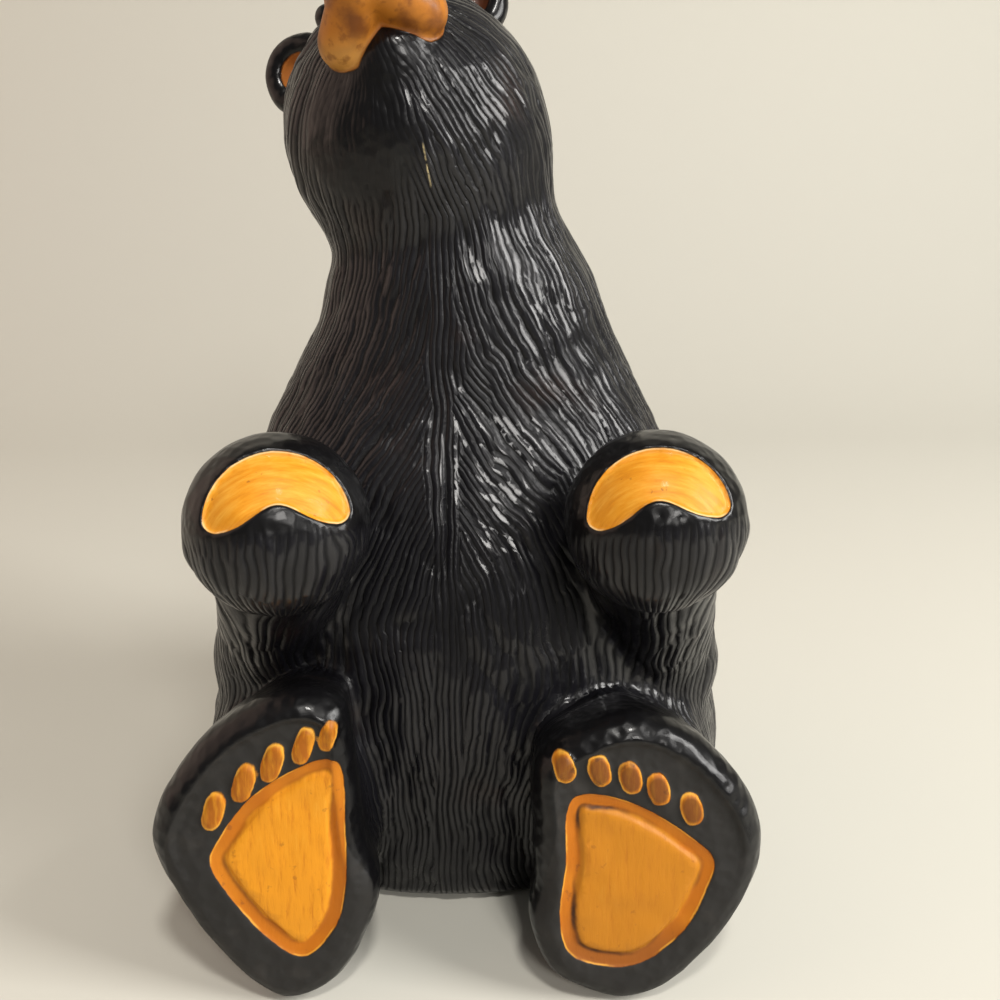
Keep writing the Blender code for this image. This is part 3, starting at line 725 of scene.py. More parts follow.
def rough_figure():
    points = []
    faces = []
    for rings, around in rough_shapes():
        faces += ring_faces(len(rings) // around, around, sum(len(found) for found in points))
        points.append(rings)
    data = bpy.data.meshes.new("rough_bear")
    data.from_pydata(np.concatenate(points).tolist(), [], faces)
    mesh = bmesh.new()
    mesh.from_mesh(data)
    bmesh.ops.recalc_face_normals(mesh, faces=mesh.faces[:])
    mesh.to_mesh(data)
    mesh.free()
    return data


bear = bpy.data.objects.new("carved_bear", rough_figure())
bpy.context.scene.collection.objects.link(bear)
print("rough figure:", len(bear.data.polygons), "faces")

# %% Small helpers that read a mesh


def evaluated_mesh(obj):
    graph = bpy.context.evaluated_depsgraph_get()
    graph.update()
    return bpy.data.meshes.new_from_object(obj.evaluated_get(graph), depsgraph=graph)


def points_of(data):
    found = np.empty(len(data.vertices) * 3, np.float32)
    data.vertices.foreach_get("co", found)
    return found.reshape(-1, 3).astype(float)


def edges_of(data):
    found = np.empty(len(data.edges) * 2, np.int32)
    data.edges.foreach_get("vertices", found)
    return found.reshape(-1, 2)


def evened(points, edges):
    total = np.zeros_like(points)
    count = np.zeros(len(points))
    for here, there in ((0, 1), (1, 0)):
        for axis in range(3):
            total[:, axis] += np.bincount(edges[:, here], points[edges[:, there], axis], len(points))
        count += np.bincount(edges[:, here], minlength=len(points))
    return total / count[:, None]


print("helpers ready")

# %% [markdown]
# ## The way the fur lies
#
# Carved fur reads as fur because every stroke follows the body. The chest parts down the middle and
# fans out to the shoulders, the belly hangs straight, and the arms, legs and head each have a way of
# their own. Near a seam the ways are blended by how close each mass is.

# %% Random values over the figure
NOISE_LOW = np.array((-100.0, -110.0, -20.0))
NOISE_HIGH = np.array((100.0, 90.0, 262.0))


def lattice(size, seed):
    """Random values at the corners of a lattice of cells of the given size, over the whole figure."""
    low = NOISE_LOW - 2.0 * size
    count = np.ceil((NOISE_HIGH - low) / size).astype(int) + 3
    values = np.random.default_rng(seed).uniform(-1.0, 1.0, tuple(count)).astype(np.float32)
    return size, low, count, values.ravel()


def sampled(noise, points):
    size, low, count, values = noise
    place = (points - low) / size
    cell = np.clip(np.floor(place).astype(np.int64), 0, count - 2)
    share = np.clip(place - cell, 0.0, 1.0).astype(np.float32)
    share = share * share * (3.0 - 2.0 * share)
    first = (cell[:, 0] * count[1] + cell[:, 1]) * count[2] + cell[:, 2]
    total = np.zeros(len(points), np.float32)
    for x in (0, 1):
        for y in (0, 1):
            for z in (0, 1):
                weight = np.ones(len(points), np.float32)
                for axis, bit in enumerate((x, y, z)):
                    weight *= share[:, axis] if bit else 1.0 - share[:, axis]
                total += weight * values[first + (x * count[1] + y) * count[2] + z]
    return total


SWAY = lattice(16.0, 11)
print("the sway of the fur has", len(SWAY[3]), "random values")

# %% Direction of the fur
PARTING_SIDE = 3.0
PARTING_LEAN = 0.36
PARTING_LEANS_FROM = 180.0
FAN_HEIGHTS = (0, 30, 60, 90, 115, 150, 175)
FAN_ANGLES = (32, 22, 10, 20, 44, 40, 16)
HEAD_FAN = 30.0
SWAY_ANGLE = 16.0
WAY_SEAM = 4.0
DOWN_THE_PAW = np.array((0.0, -0.2, -0.98))
DOWN_THE_LEG = np.array((0.0, -0.45, -0.89))


def parting(points):
    """How far a point is to the side of the line that parts the fur."""
    rise = np.maximum(points[:, 2] - PARTING_LEANS_FROM, 0.0)
    return points[:, 0] + PARTING_SIDE + PARTING_LEAN * rise


def fanned(angle):
    return np.stack((np.sin(angle), np.zeros_like(angle), -np.cos(angle)), axis=1)


def fur_direction(points, normals):
    part = shapes(points)
    side = parting(points)
    turn = np.interp(points[:, 2], FAN_HEIGHTS, FAN_ANGLES)
    sway = np.radians(SWAY_ANGLE) * sampled(SWAY, points)
    sway = sway * np.tanh(np.abs(side) / 8.0)
    down = fanned(np.radians(turn) * np.tanh(side / 7.0) + sway)
    back = fanned(np.radians(HEAD_FAN) * np.tanh(side / 9.0) + sway) - 0.5 * HEAD_AXES[1]
    ways = dict.fromkeys(("torso", "neck", "tail"), down)
    ways.update(dict.fromkeys(("head", "chin", "snout", "ear0", "ear1"), back))
    side_step = np.stack((np.sin(sway), np.zeros_like(sway), np.zeros_like(sway)), axis=1)
    for which in (0, 1):
        ways[f"arm{which}"] = unit(np.asarray(ELBOWS[which]) - np.asarray(SHOULDERS[which])) + side_step
        ways[f"paw{which}"] = DOWN_THE_PAW + side_step
        ways[f"leg{which}"] = DOWN_THE_LEG + side_step
        ways[f"foot{which}"] = DOWN_THE_LEG + side_step
    nearest = np.min([part[name] for name in ways], axis=0)
    way = np.zeros_like(points)
    for name, direction in ways.items():
        way += np.exp(-np.minimum((part[name] - nearest) / WAY_SEAM, 60.0))[:, None] * direction
    way -= normals * (way * normals).sum(axis=1)[:, None]
    return way / np.maximum(np.linalg.norm(way, axis=1), 1e-6)[:, None]


print("at the shoulders the fur leans", max(FAN_ANGLES), "degrees")

# %% Strength of the fur


def fur_amount(points):
    part = shapes(points)
    nearest = np.min(list(part.values()), axis=0)

    def close(name, reach):
        return soft_step(reach - (part[name] - nearest), 0.0, reach)

    amount = np.ones(len(points))
    for name in ("snout", "jowl0", "jowl1", "nose", "eye0", "eye1", "ear0", "ear1"):
        amount *= 1.0 - close(name, 1.5)
    amount *= 1.0 - 0.75 * close("chin", 4.0)
    cheek = np.linalg.norm(points - np.array(SMOOTH_CHEEK), axis=1)
    amount *= 1.0 - 0.8 * soft_step(SMOOTH_CHEEK_REACH - cheek, 0.0, 8.0)
    for which in (0, 1):
        across, rise, out = sole_places(points, which)
        amount *= 1.0 - close(f"foot{which}", 3.0) * (1.0 - 0.6 * soft_step(-out, 12.0, 20.0))
        rise = (points - np.asarray(PAWS[which])) @ PAW_AXES[which][1]
        lower = soft_step(-rise, 0.0, 5.0) * soft_step(bean(points, which), 0.5, 2.5)
        amount *= 1.0 - close(f"paw{which}", 3.0) * (1.0 - 0.8 * lower)
    return amount * soft_step(points[:, 2], 1.0, 5.0)


print("one stroke every", STROKE_PITCH, "mm")

# %% [markdown]
# ## Where each stroke lies
#
# The strokes of the carving tool are evenly spaced and never cross, so they are the level lines of one
# number, the stroke place, which grows by a millimetre for each millimetre walked across the fur. Such
# a number is found for the whole skin at once: along every edge of the skin it should change by the
# step across the fur, and the steps are satisfied as well as they can be together, by least squares.
# The number grows away from the parting on both sides, as a carver works away from it.

# %% Stroke places by least squares
SOLVER_ROUNDS = 500


def stroke_places(points, edges):
    normals, _, _ = slope(points)
    way = fur_direction(points, normals)
    strength = fur_amount(points)
    side = np.sign(parting(points))
    across = side[:, None] * np.cross(normals, way)
    here, there = edges.T
    wanted = ((points[there] - points[here]) * (across[here] + across[there])).sum(axis=1) / 2.0
    weight = 0.05 + (strength[here] + strength[there]) / 2.0
    count = len(points)

    def gathered(flow):
        return np.bincount(there, flow, count) - np.bincount(here, flow, count)

    size = np.bincount(there, weight, count) + np.bincount(here, weight, count)
    place = np.abs(parting(points))
    left = gathered(weight * (wanted - place[there] + place[here]))
    ready = left / size
    heading = ready.copy()
    gain = left @ ready
    for _ in range(SOLVER_ROUNDS):
        pushed = gathered(weight * (heading[there] - heading[here]))
        step = gain / (heading @ pushed)
        place = place + step * heading
        left = left - step * pushed
        ready = left / size
        before, gain = gain, left @ ready
        heading = ready + (gain / before) * heading
    return place


def store(data, name, values):
    kind, field = ("FLOAT_VECTOR", "vector") if values.ndim == 2 else ("FLOAT", "value")
    made = data.attributes.new(name, kind, "POINT")
    made.data.foreach_set(field, values.astype(np.float32).ravel())


def stored_on(data, name):
    found = np.empty(len(data.vertices), np.float32)
    data.attributes[name].data.foreach_get("value", found)
    return found.astype(float)


print("solver rounds:", SOLVER_ROUNDS)

# %% [markdown]
# ## The skin
#
# The remeshed skin settles onto the form and is evened out a few times, so that its squares stay
# regular. One subdivision then halves their size, which is fine enough for ridges two strokes wide.

# %% Wrap the rough figure and settle it
wrap = bear.modifiers.new("skin", "REMESH")
wrap.mode = "VOXEL"
wrap.voxel_size = SKIN_GRID
skin = evaluated_mesh(bear)
bear.modifiers.clear()
coarse = settle(points_of(skin), 3)
coarse_edges = edges_of(skin)
for _ in range(3):
    coarse = settle(coarse * 0.4 + evened(coarse, coarse_edges) * 0.6, 1)
skin.vertices.foreach_set("co", coarse.astype(np.float32).ravel())
skin.update()
bear.data = skin
print("skin:", len(coarse), "points")

# %% Refine the skin
store(skin, "stroke place", stroke_places(coarse, coarse_edges))
finer = bear.modifiers.new("finer", "SUBSURF")
finer.levels = 1
finer.render_levels = 1
skin = evaluated_mesh(bear)
bear.modifiers.clear()
points = settle(points_of(skin), 2)
normals, _, _ = slope(points)
place = stored_on(skin, "stroke place")
print("refined skin:", len(points), "points")

# %% The way of the fur on the refined skin
way = fur_direction(points, normals)
furred = fur_amount(points)
print("mean strength of the fur", round(float(furred.mean()), 2))

# %% [markdown]
# ## Locks and strokes
#
# A lock is a value that stays nearly the same along the fur and changes across it. Each point walks a
# little way up and down the fur and takes the mean of a random lattice on its path. Seen across the
# fur the result still wanders as the lattice does, but along the fur it is drawn out. Its size without
# its sign makes round locks with thin sharp grooves between them. A stroke of the carving tool is much
# finer. The mesh carries every second groove of the strokes, and the paint draws them all.

# %% Walk along the fur
CELL = 2.0
WALK_STEP = 1.0


def way_field(points, way):
    low = points.min(axis=0) - 3.0 * CELL
    count = np.ceil((points.max(axis=0) - low) / CELL).astype(int) + 4
    cell = ((points - low) / CELL).astype(np.int64)
    key = (cell[:, 0] * count[1] + cell[:, 1]) * count[2] + cell[:, 2]
    total = int(np.prod(count))
    field = np.stack([np.bincount(key, way[:, axis], total) for axis in range(3)], axis=1)
    field = field.reshape(*count, 3)
    spread = field.copy()
    for axis in range(3):
        spread += np.roll(field, 1, axis) + np.roll(field, -1, axis)
    length = np.linalg.norm(spread, axis=3, keepdims=True)
    return low, count, (spread / np.maximum(length, 1e-6)).reshape(-1, 3).astype(np.float32)


def walked(points, field, sign):
    low, count, ways = field
    while True:
        cell = np.clip(((points - low) / CELL).astype(np.int64), 0, count - 1)
        key = (cell[:, 0] * count[1] + cell[:, 1]) * count[2] + cell[:, 2]
        points = points + sign * WALK_STEP * ways[key]
        yield points


def combed(points, field, layers):
    """One value for each layer of (lattice, length), drawn out along the fur."""
    totals = [sampled(noise, points) for noise, _ in layers]
    steps = [max(2, round(length / 2.0 / WALK_STEP)) for _, length in layers]
    for sign in (1.0, -1.0):
        path = walked(points, field, sign)
        for k in range(1, max(steps) + 1):
            spot = next(path)
            for i, (noise, _) in enumerate(layers):
                if k <= steps[i]:
                    totals[i] += (1.0 - k / (steps[i] + 1.0)) * sampled(noise, spot)
    return [total / total.std() for total in totals]


locks = combed(points, way_field(points, way), ((lattice(LOCK_WIDTH, 3), LOCK_LENGTH),))[0]
lock_height = np.clip(np.abs(locks)**0.8 - 0.8, -1.0, 1.0)
print("locks from", round(float(lock_height.min()), 2), "to", round(float(lock_height.max()), 2))

# %% Strokes of the carving tool
WANDER = (lattice(11.0, 21), lattice(4.5, 22), lattice(9.0, 23), lattice(13.0, 24), lattice(9.0, 25))
MIDDLE_BAND = 9.0


def strokes(points, place):
    """Two sets of strokes, and which of them is cut at each point, so that strokes start and end.

    Along the parting the second set runs straight down, and covers where the first set meets itself.
    On a paw both sets run down from its top, like the lines on a globe.
    """
    shake = 0.25 * sampled(WANDER[1], points)
    wave = sampled(WANDER[0], points)
    first = place / STROKE_PITCH + 0.7 * wave + shake
    second = 0.85 * place / STROKE_PITCH + 0.8 * sampled(WANDER[2], points) + shake
    choice = soft_step(sampled(WANDER[3], points), -0.1, 0.1)
    aside = np.abs(parting(points))
    on_front = (aside < MIDDLE_BAND) & (points[:, 1] < 10.0)
    second = np.where(on_front, parting(points) / STROKE_PITCH + 0.6 * wave + shake, second)
    near_band = soft_step(MIDDLE_BAND + 4.0 - aside, 0.0, 3.0) * (points[:, 1] < 12.0)
    in_band = soft_step(4.5 + 3.0 * wave - aside, 0.0, 1.0) * (points[:, 1] < 8.0)
    choice = choice * (1.0 - near_band) + in_band * near_band
    for centre in PAWS:
        away = points - np.asarray(centre)
        on_paw = np.linalg.norm(away, axis=1) < PAW_RADIUS + 1.5
        around = np.arctan2(away[:, 0], -away[:, 1]) * 0.8 * PAW_RADIUS / STROKE_PITCH + shake
        first = np.where(on_paw, around, first)
        second = np.where(on_paw, 0.8 * around + wave, second)
    return first, second, choice


def stroke_ridge(first, second, choice):
    ridges = [np.abs(np.sin(math.pi * phase))**0.7 for phase in (first, second)]
    return ridges[0] * (1.0 - choice) + ridges[1] * choice


stroke_strength = 0.6 + 0.4 * sampled(WANDER[4], points)
first, second, choice = strokes(points, place)
stroke_height = (stroke_ridge(first / 2.0, second / 2.0, choice) - 0.7) * stroke_strength
print("strokes from", round(float(stroke_height.min()), 2), "to", round(float(stroke_height.max()), 2))

# %% [markdown]
# ## What is painted where
#
# The painter followed the carved edges. Each painted patch is measured as a distance in millimetres to
# its edge, positive inside, so that the paint can have a crisp edge, a worn line along it and a darker
# rim, at any distance from it. The depth of the carving is measured too, for the gloss of the ridges.

# %% Distances to the painted edges
NOT_NEAR = -50.0
EAR_LINING_INSET = 2.4


def painted_edges(points):
    part = shapes(points)
    others = np.min([part[name] for name in part if name not in ("snout", "jowl0", "jowl1")], axis=0)
    found = {"muzzle edge": others - np.minimum(part["snout"], np.minimum(part["jowl0"], part["jowl1"]))}
    for name in ("pad edge", "toe edge", "sole edge", "paw pad edge", "ear lining edge"):
        found[name] = np.full(len(points), NOT_NEAR)
    found["brush"] = np.zeros_like(points)
    for which, flip in enumerate((-1.0, 1.0)):
        across, rise, out = sole_places(points, which)
        near = (out > -6.0) & (np.abs(across) < 45.0) & (np.abs(rise) < 50.0)
        found["pad edge"][near] = -sole_pad(points[near], which)
        found["toe edge"][near] = -toes(points[near], which)
        found["sole edge"][near] = -outline(across[near], rise[near], FOOT_TURNS[which])
        on_sole = np.stack((across, rise, np.full_like(rise, 10.0 * which)), axis=1)
        found["brush"][near] = on_sole[near]
        local = (points - np.asarray(PAWS[which])) @ PAW_AXES[which].T
        near = (local[:, 2] > 2.0) & (np.linalg.norm(local, axis=1) < 25.0)
        found["paw pad edge"][near] = -bean(points[near], which)
        arc = np.hypot(local[:, 0], local[:, 1] + 8.0)
        on_paw = np.stack((arc, local[:, 0], np.full_like(arc, 5.0 + 10.0 * which)), axis=1)
        found["brush"][near] = on_paw[near]
        round_, out = ear_places(points, flip)
        near = (out > -2.5) & (round_ < EAR_RING + 2.0)
        found["ear lining edge"][near] = EAR_RING - EAR_LINING_INSET - round_[near]
    return found


edges_here = painted_edges(points)
print("points on the big pads", int((edges_here["pad edge"] > 0).sum()))

# %% [markdown]
# ## Carve with Geometry Nodes
#
# The heights are stored on the skin, and a node tree moves each point along the way out by its height.
# The depths are inputs of the tree, so the carving can be made deeper or shallower in one place. The
# helpers below write this tree and the trees of the paint in few words.

# %% Helpers for node trees


def maker(tree):
    def add(kind, settings=None, sockets=None):
        node = tree.nodes.new(kind)
        for key, value in (settings or {}).items():
            setattr(node, key, value)
        for key, value in (sockets or {}).items():
            if isinstance(value, bpy.types.NodeSocket):
                tree.links.new(value, node.inputs[key])
            else:
                node.inputs[key].default_value = value
        return node

    return add


def math_of(operation, first, second=0.0):
    """A step of arithmetic, in the tree that add belongs to at that moment."""
    return add("ShaderNodeMath", {"operation": operation}, {0: first, 1: second}).outputs[0]


def times(first, second):
    return math_of("MULTIPLY", first, second)


def plus(first, second):
    return math_of("ADD", first, second)


def minus(first, second):
    return math_of("SUBTRACT", first, second)


def rest_of(share):
    return minus(1.0, share)


print("tree helpers ready")

# %% Build the carving tree
DEPTHS = {"Lock": LOCK_DEPTH, "Stroke": STROKE_DEPTH, "Hand": HAND_DEPTH}
painted_casting = bpy.data.materials.new("painted_casting")
carving_tree = bpy.data.node_groups.new("carve fur", "GeometryNodeTree")
carving_tree.interface.new_socket("Skin", in_out="INPUT", socket_type="NodeSocketGeometry")
for layer in DEPTHS:
    carving_tree.interface.new_socket(f"{layer} depth", in_out="INPUT", socket_type="NodeSocketFloat")
carving_tree.interface.new_socket("Carved skin", in_out="OUTPUT", socket_type="NodeSocketGeometry")
add = maker(carving_tree)


def on_skin(name, kind="FLOAT"):
    node = add("GeometryNodeInputNamedAttribute", {"data_type": kind}, {"Name": name})
    return node.outputs["Attribute"]


given = add("NodeGroupInput").outputs
deep = {layer: times(on_skin(f"{layer.lower()} height"), given[f"{layer} depth"]) for layer in DEPTHS}
fur = times(plus(deep["Lock"], deep["Stroke"]), on_skin("furred"))
way_out = on_skin("way out", "FLOAT_VECTOR")
sockets = {0: way_out, "Scale": plus(fur, deep["Hand"])}
offset = add("ShaderNodeVectorMath", {"operation": "SCALE"}, sockets).outputs[0]
moved = add("GeometryNodeSetPosition", None, {"Geometry": given["Skin"], "Offset": offset}).outputs[0]
real = add("GeometryNodeRealizeInstances", None, {"Geometry": moved}).outputs[0]
sockets = {"Geometry": real, "Material": painted_casting}
carved = add("GeometryNodeSetMaterial", None, sockets).outputs[0]
add("NodeGroupOutput", None, {"Carved skin": carved})
print("carving tree:", len(carving_tree.nodes), "nodes")

# %% Store the heights on the skin
HEIGHTS = {
    "lock height": lock_height,
    "stroke height": stroke_height,
    "hand height": sampled(lattice(HAND_SIZE, 8), points) * soft_step(points[:, 2], 1.0, 5.0),
    "furred": furred,
    "way out": normals,
}
bear.data = skin
skin.vertices.foreach_set("co", points.astype(np.float32).ravel())
skin.update()
for name, values in HEIGHTS.items():
    store(skin, name, values)
print("stored on the skin:", ", ".join(HEIGHTS))

# %% Carve, then thin the mesh
KEPT_BAND = 0.9
SIDEWAYS = 0.1
FRONT_WEIGHT = 0.97


def input_of(tree, name):
    return next(item.identifier for item in tree.interface.items_tree if item.name == name)


def near_an_edge(found):
    kept = np.abs(found["pad edge"] - PAD_RIM) < KEPT_BAND
    for name in ("pad edge", "toe edge", "paw pad edge", "ear lining edge"):
        kept |= np.abs(found[name]) < KEPT_BAND
    return kept | (np.abs(found["muzzle edge"]) < 0.5 * KEPT_BAND)


thinned = bear.vertex_groups.new(name="may be thinned")
plain = ~near_an_edge(edges_here)
seen_side = normals[:, 1] < SIDEWAYS
thinned.add(np.flatnonzero(plain & ~seen_side).tolist(), 1.0, "REPLACE")
thinned.add(np.flatnonzero(plain & seen_side).tolist(), FRONT_WEIGHT, "REPLACE")
carve = bear.modifiers.new("carve fur", "NODES")
carve.node_group = carving_tree
for layer, depth in DEPTHS.items():
    carve[input_of(carving_tree, f"{layer} depth")] = depth
thin = bear.modifiers.new("thin", "DECIMATE")
thin.vertex_group = thinned.name
thin.ratio = MOST_TRIANGLES / (2.0 * len(skin.polygons))
skin = evaluated_mesh(bear)
bear.modifiers.clear()
bear.vertex_groups.clear()
bear.data = skin
skin.calc_loop_triangles()
print("carved and thinned:", len(skin.loop_triangles), "triangles")

# %% Bring the mesh to its place, in metres
finished = points_of(skin)
finished[:, 2] = np.maximum(finished[:, 2], 0.0)
measured = painted_edges(finished)
measured["carving"] = form(finished)
measured["furred"] = fur_amount(finished)
first, second, choice = strokes(finished, stored_on(skin, "stroke place"))
measured.update({"first strokes": first, "second strokes": second, "stroke choice": choice})
placed = finished.copy()
placed[:, :2] -= FLOOR_CENTRE
placed *= TO_METRES
low, high = np.array(CAD_BOX[0]), np.array(CAD_BOX[1])
outside = np.maximum(np.maximum(low - placed, placed - high), 0.0).max()
placed = np.clip(placed, low, high)
MUZZLE_LOW = float(placed[measured["muzzle edge"] > 0.0, 2].min())
skin.vertices.foreach_set("co", placed.astype(np.float32).ravel())
for name in (*HEIGHTS, "stroke place"):
    skin.attributes.remove(skin.attributes[name])
for name, values in measured.items():
    store(skin, name, values)
skin.shade_smooth()
skin.update()
print("the relief stood", round(float(outside) * 1000.0, 2), "mm outside the CAD box and was pressed in")

# %% [markdown]
# ## Paint
#
# The casting has one material, because its paint runs from one colour into the next without a seam.
# Effects that come back in several colours, such as a hand-painted edge, brush strokes and stains, are
# node groups with named inputs. They read the stored distances and the object's own coordinates.

# %% Helpers for shader trees


def stepped(value, start, end, low=0.0, high=1.0):
    sockets = {"Value": value, "From Min": start, "From Max": end, "To Min": low, "To Max": high}
    return add("ShaderNodeMapRange", {"interpolation_type": "SMOOTHSTEP"}, sockets).outputs[0]


def blend(factor, first, second):
    return add("ShaderNodeMix", {"data_type": "RGBA"}, {0: factor, 6: first, 7: second}).outputs[2]


def mix(factor, first, second):
    return add("ShaderNodeMix", None, {0: factor, 2: first, 3: second}).outputs[0]


def cloudy(where, scale, detail, **more):
    sockets = {"Vector": where, "Scale": scale, "Detail": detail, **more}
    return add("ShaderNodeTexNoise", None, sockets).outputs["Fac"]


def shader_group(name, inputs, outputs):
    """A group with a number input for each value given, and a vector input where it is None."""
    tree = bpy.data.node_groups.new(name, "ShaderNodeTree")
    for title, value in inputs.items():
        kind = "NodeSocketVector" if value is None else "NodeSocketFloat"
        socket = tree.interface.new_socket(title, in_out="INPUT", socket_type=kind)
        if value is not None:
            socket.default_value = value
    for title in outputs:
        tree.interface.new_socket(title, in_out="OUTPUT", socket_type="NodeSocketFloat")
    add = maker(tree)
    return tree, add, add("NodeGroupInput").outputs


print("shader helpers ready")

# %% Group: a painted edge
edge_tree, add, given = shader_group(
    "painted edge",
    {"Distance": 0.0, "Place": None, "Wobble": 0.3, "Softness": 0.15},
    ("Mask", "Rim line"),
)
shift = times(minus(cloudy(given["Place"], 420.0, 2.0), 0.5), given["Wobble"])
moved = plus(given["Distance"], shift)
low_end = times(given["Softness"], -1.0)
mask = stepped(moved, low_end, given["Softness"])
line = rest_of(stepped(math_of("ABSOLUTE", moved), 0.1, 0.55))
line = times(line, stepped(cloudy(given["Place"], 130.0, 3.0), 0.42, 0.6))
add("NodeGroupOutput", None, {"Mask": mask, "Rim line": line})
print(edge_tree.name, len(edge_tree.nodes), "nodes")

# %% Group: brush strokes
brush_tree, add, given = shader_group(
    "brush strokes",
    {"Brush": None, "Across": 0.9, "Along": 0.07, "Contrast": 1.0},
    ("Streaks",),
)
parts = add("ShaderNodeSeparateXYZ", None, {0: given["Brush"]}).outputs
across = times(parts[0], given["Across"])
along = times(parts[1], given["Along"])
stretched = add("ShaderNodeCombineXYZ", None, {0: across, 1: along, 2: parts[2]}).outputs[0]
fine = cloudy(stretched, 2.2, 4.0, Roughness=0.65)
value = times(minus(fine, 0.5), given["Contrast"])
add("NodeGroupOutput", None, {"Streaks": plus(value, 0.5)})
print(brush_tree.name, len(brush_tree.nodes), "nodes")

# %% Group: carved strokes
FINE_SCALE = 60.0
FINE_PER_STROKE = 3.2
carved_tree, add, given = shader_group(
    "carved strokes",
    {"First": 0.0, "Second": 0.0, "Choice": 0.0, "Place": None},
    ("Ridge", "Fine"),
)
ridges = []
for name in ("First", "Second"):
    ridges.append(math_of("ABSOLUTE", math_of("SINE", times(given[name], math.pi))))
sockets = {"Vector": given["Place"], "Scale": FINE_SCALE}
sockets["W"] = times(given["First"], FINE_PER_STROKE / FINE_SCALE)
fine = add("ShaderNodeTexNoise", {"noise_dimensions": "4D"}, sockets).outputs["Fac"]
add("NodeGroupOutput", None, {"Ridge": mix(given["Choice"], *ridges), "Fine": fine})
print(carved_tree.name, len(carved_tree.nodes), "nodes")

# %% Group: stains and flecks
stain_tree, add, given = shader_group(
    "stains",
    {"Place": None, "Size": 180.0, "Amount": 0.5, "Sharpness": 0.08},
    ("Mask",),
)
cloud = cloudy(given["Place"], given["Size"], 5.0)
start = rest_of(given["Amount"])
end = plus(start, given["Sharpness"])
add("NodeGroupOutput", None, {"Mask": stepped(cloud, start, end)})
print(stain_tree.name, len(stain_tree.nodes), "nodes")

# %% [markdown]
# ### The black of the fur
#
# The black is a thin glossy paint, a little blue on the ridges, and painted shade makes it nearly
# lightless in the grooves. The shader draws the strokes of the tool again from their stored places,
# because it draws them sharper than the mesh does. Handling has rubbed brown through on some of the
# ridges.

# %% Colours of the paint
BLACK_RIDGE = (0.0062, 0.0060, 0.0080, 1.0)
BLACK_GLOSS = (0.0028, 0.0027, 0.0032, 1.0)
BLACK_GROOVE_SHADE = (0.0012, 0.0012, 0.0014, 1.0)
RUBBED_BROWN = (0.026, 0.013, 0.0095, 1.0)
CHARCOAL = (0.0190, 0.0180, 0.0168, 1.0)
CHARCOAL_DUST = (0.034, 0.031, 0.028, 1.0)
AMBER = (0.68, 0.265, 0.012, 1.0)
AMBER_LIGHT = (0.78, 0.385, 0.045, 1.0)
AMBER_DULL = (0.38, 0.138, 0.008, 1.0)
TOE_BROWN = (0.090, 0.030, 0.008, 1.0)
AMBER_DEEP = (0.44, 0.128, 0.005, 1.0)
AMBER_BROWN = (0.20, 0.062, 0.012, 1.0)
GROOVE_BROWN = (0.030, 0.012, 0.006, 1.0)
WORN_CREAM = (0.86, 0.62, 0.30, 1.0)
MUZZLE_BROWN = (0.17, 0.052, 0.008, 1.0)
MUZZLE_AMBER = (0.40, 0.140, 0.014, 1.0)
MUZZLE_LIT_AMBER = (0.60, 0.290, 0.060, 1.0)
EAR_AMBER = (0.40, 0.145, 0.030, 1.0)
EAR_RUST = (0.075, 0.022, 0.008, 1.0)
SCRATCH = (0.52, 0.42, 0.22, 1.0)
print("twenty colours")

# %% The material, and short names for its groups
painted_casting.use_nodes = True
tree = painted_casting.node_tree
tree.nodes.clear()
add = maker(tree)
place = add("ShaderNodeTexCoord").outputs["Object"]


def stored(name):
    node = add("ShaderNodeAttribute", {"attribute_name": name})
    return node.outputs["Vector"] if name == "brush" else node.outputs["Fac"]


def use(group_tree, sockets):
    return add("ShaderNodeGroup", {"node_tree": group_tree}, sockets).outputs


def painted_edge(distance, wobble, softness):
    return use(edge_tree, {"Distance": distance, "Place": place, "Wobble": wobble, "Softness": softness})


def stains(size, amount, sharpness):
    sockets = {"Place": place, "Size": size, "Amount": amount, "Sharpness": sharpness}
    return use(stain_tree, sockets)["Mask"]


def brushed(across, along, contrast):
    sockets = {"Brush": brush_place, "Across": across, "Along": along, "Contrast": contrast}
    return use(brush_tree, sockets)["Streaks"]


print("material:", painted_casting.name)

# %% The black paint
BLACK_ROUGHNESS = (0.27, 0.36)
GROOVE_ROUGHNESS = 0.25
BLACK_COAT = 0.42
BARE_COAT_SHARE = 0.45
carving = stored("carving")
brush_place = stored("brush")
furred_here = stored("furred")
cut = use(carved_tree, {
    "First": stored("first strokes"),
    "Second": stored("second strokes"),
    "Choice": stored("stroke choice"),
    "Place": place,
})
bare = rest_of(furred_here)
stroke = math_of("MAXIMUM", cut["Ridge"], bare)
# Painted shade: the deep carving between the locks and the grooves of the strokes are coloured darker.
lock = stepped(carving, -0.9, 0.3, 0.35, 1.0)
ridge = times(stepped(stroke, 0.0, 0.8, 0.15, 1.0), lock)
colour = blend(ridge, BLACK_GROOVE_SHADE, BLACK_RIDGE)
rubbed = stains(size=42.0, amount=0.42, sharpness=0.2)
rubbed = times(rubbed, times(ridge, 0.6))
colour = blend(rubbed, colour, RUBBED_BROWN)
gloss_cloud = cloudy(place, 45.0, 4.0)
roughness = stepped(gloss_cloud, 0.3, 0.7, *BLACK_ROUGHNESS)
dull = stepped(stroke, 0.1, 0.7, GROOVE_ROUGHNESS, 0.0)
roughness = plus(roughness, dull)
coat = times(stepped(stroke, 0.3, 0.9, 0.0, BLACK_COAT), lock)
coat = times(coat, stepped(bare, 0.2, 1.0, 1.0, BARE_COAT_SHARE))
colour = blend(stepped(bare, 0.2, 1.0), colour, BLACK_GLOSS)
print("fur colours set")
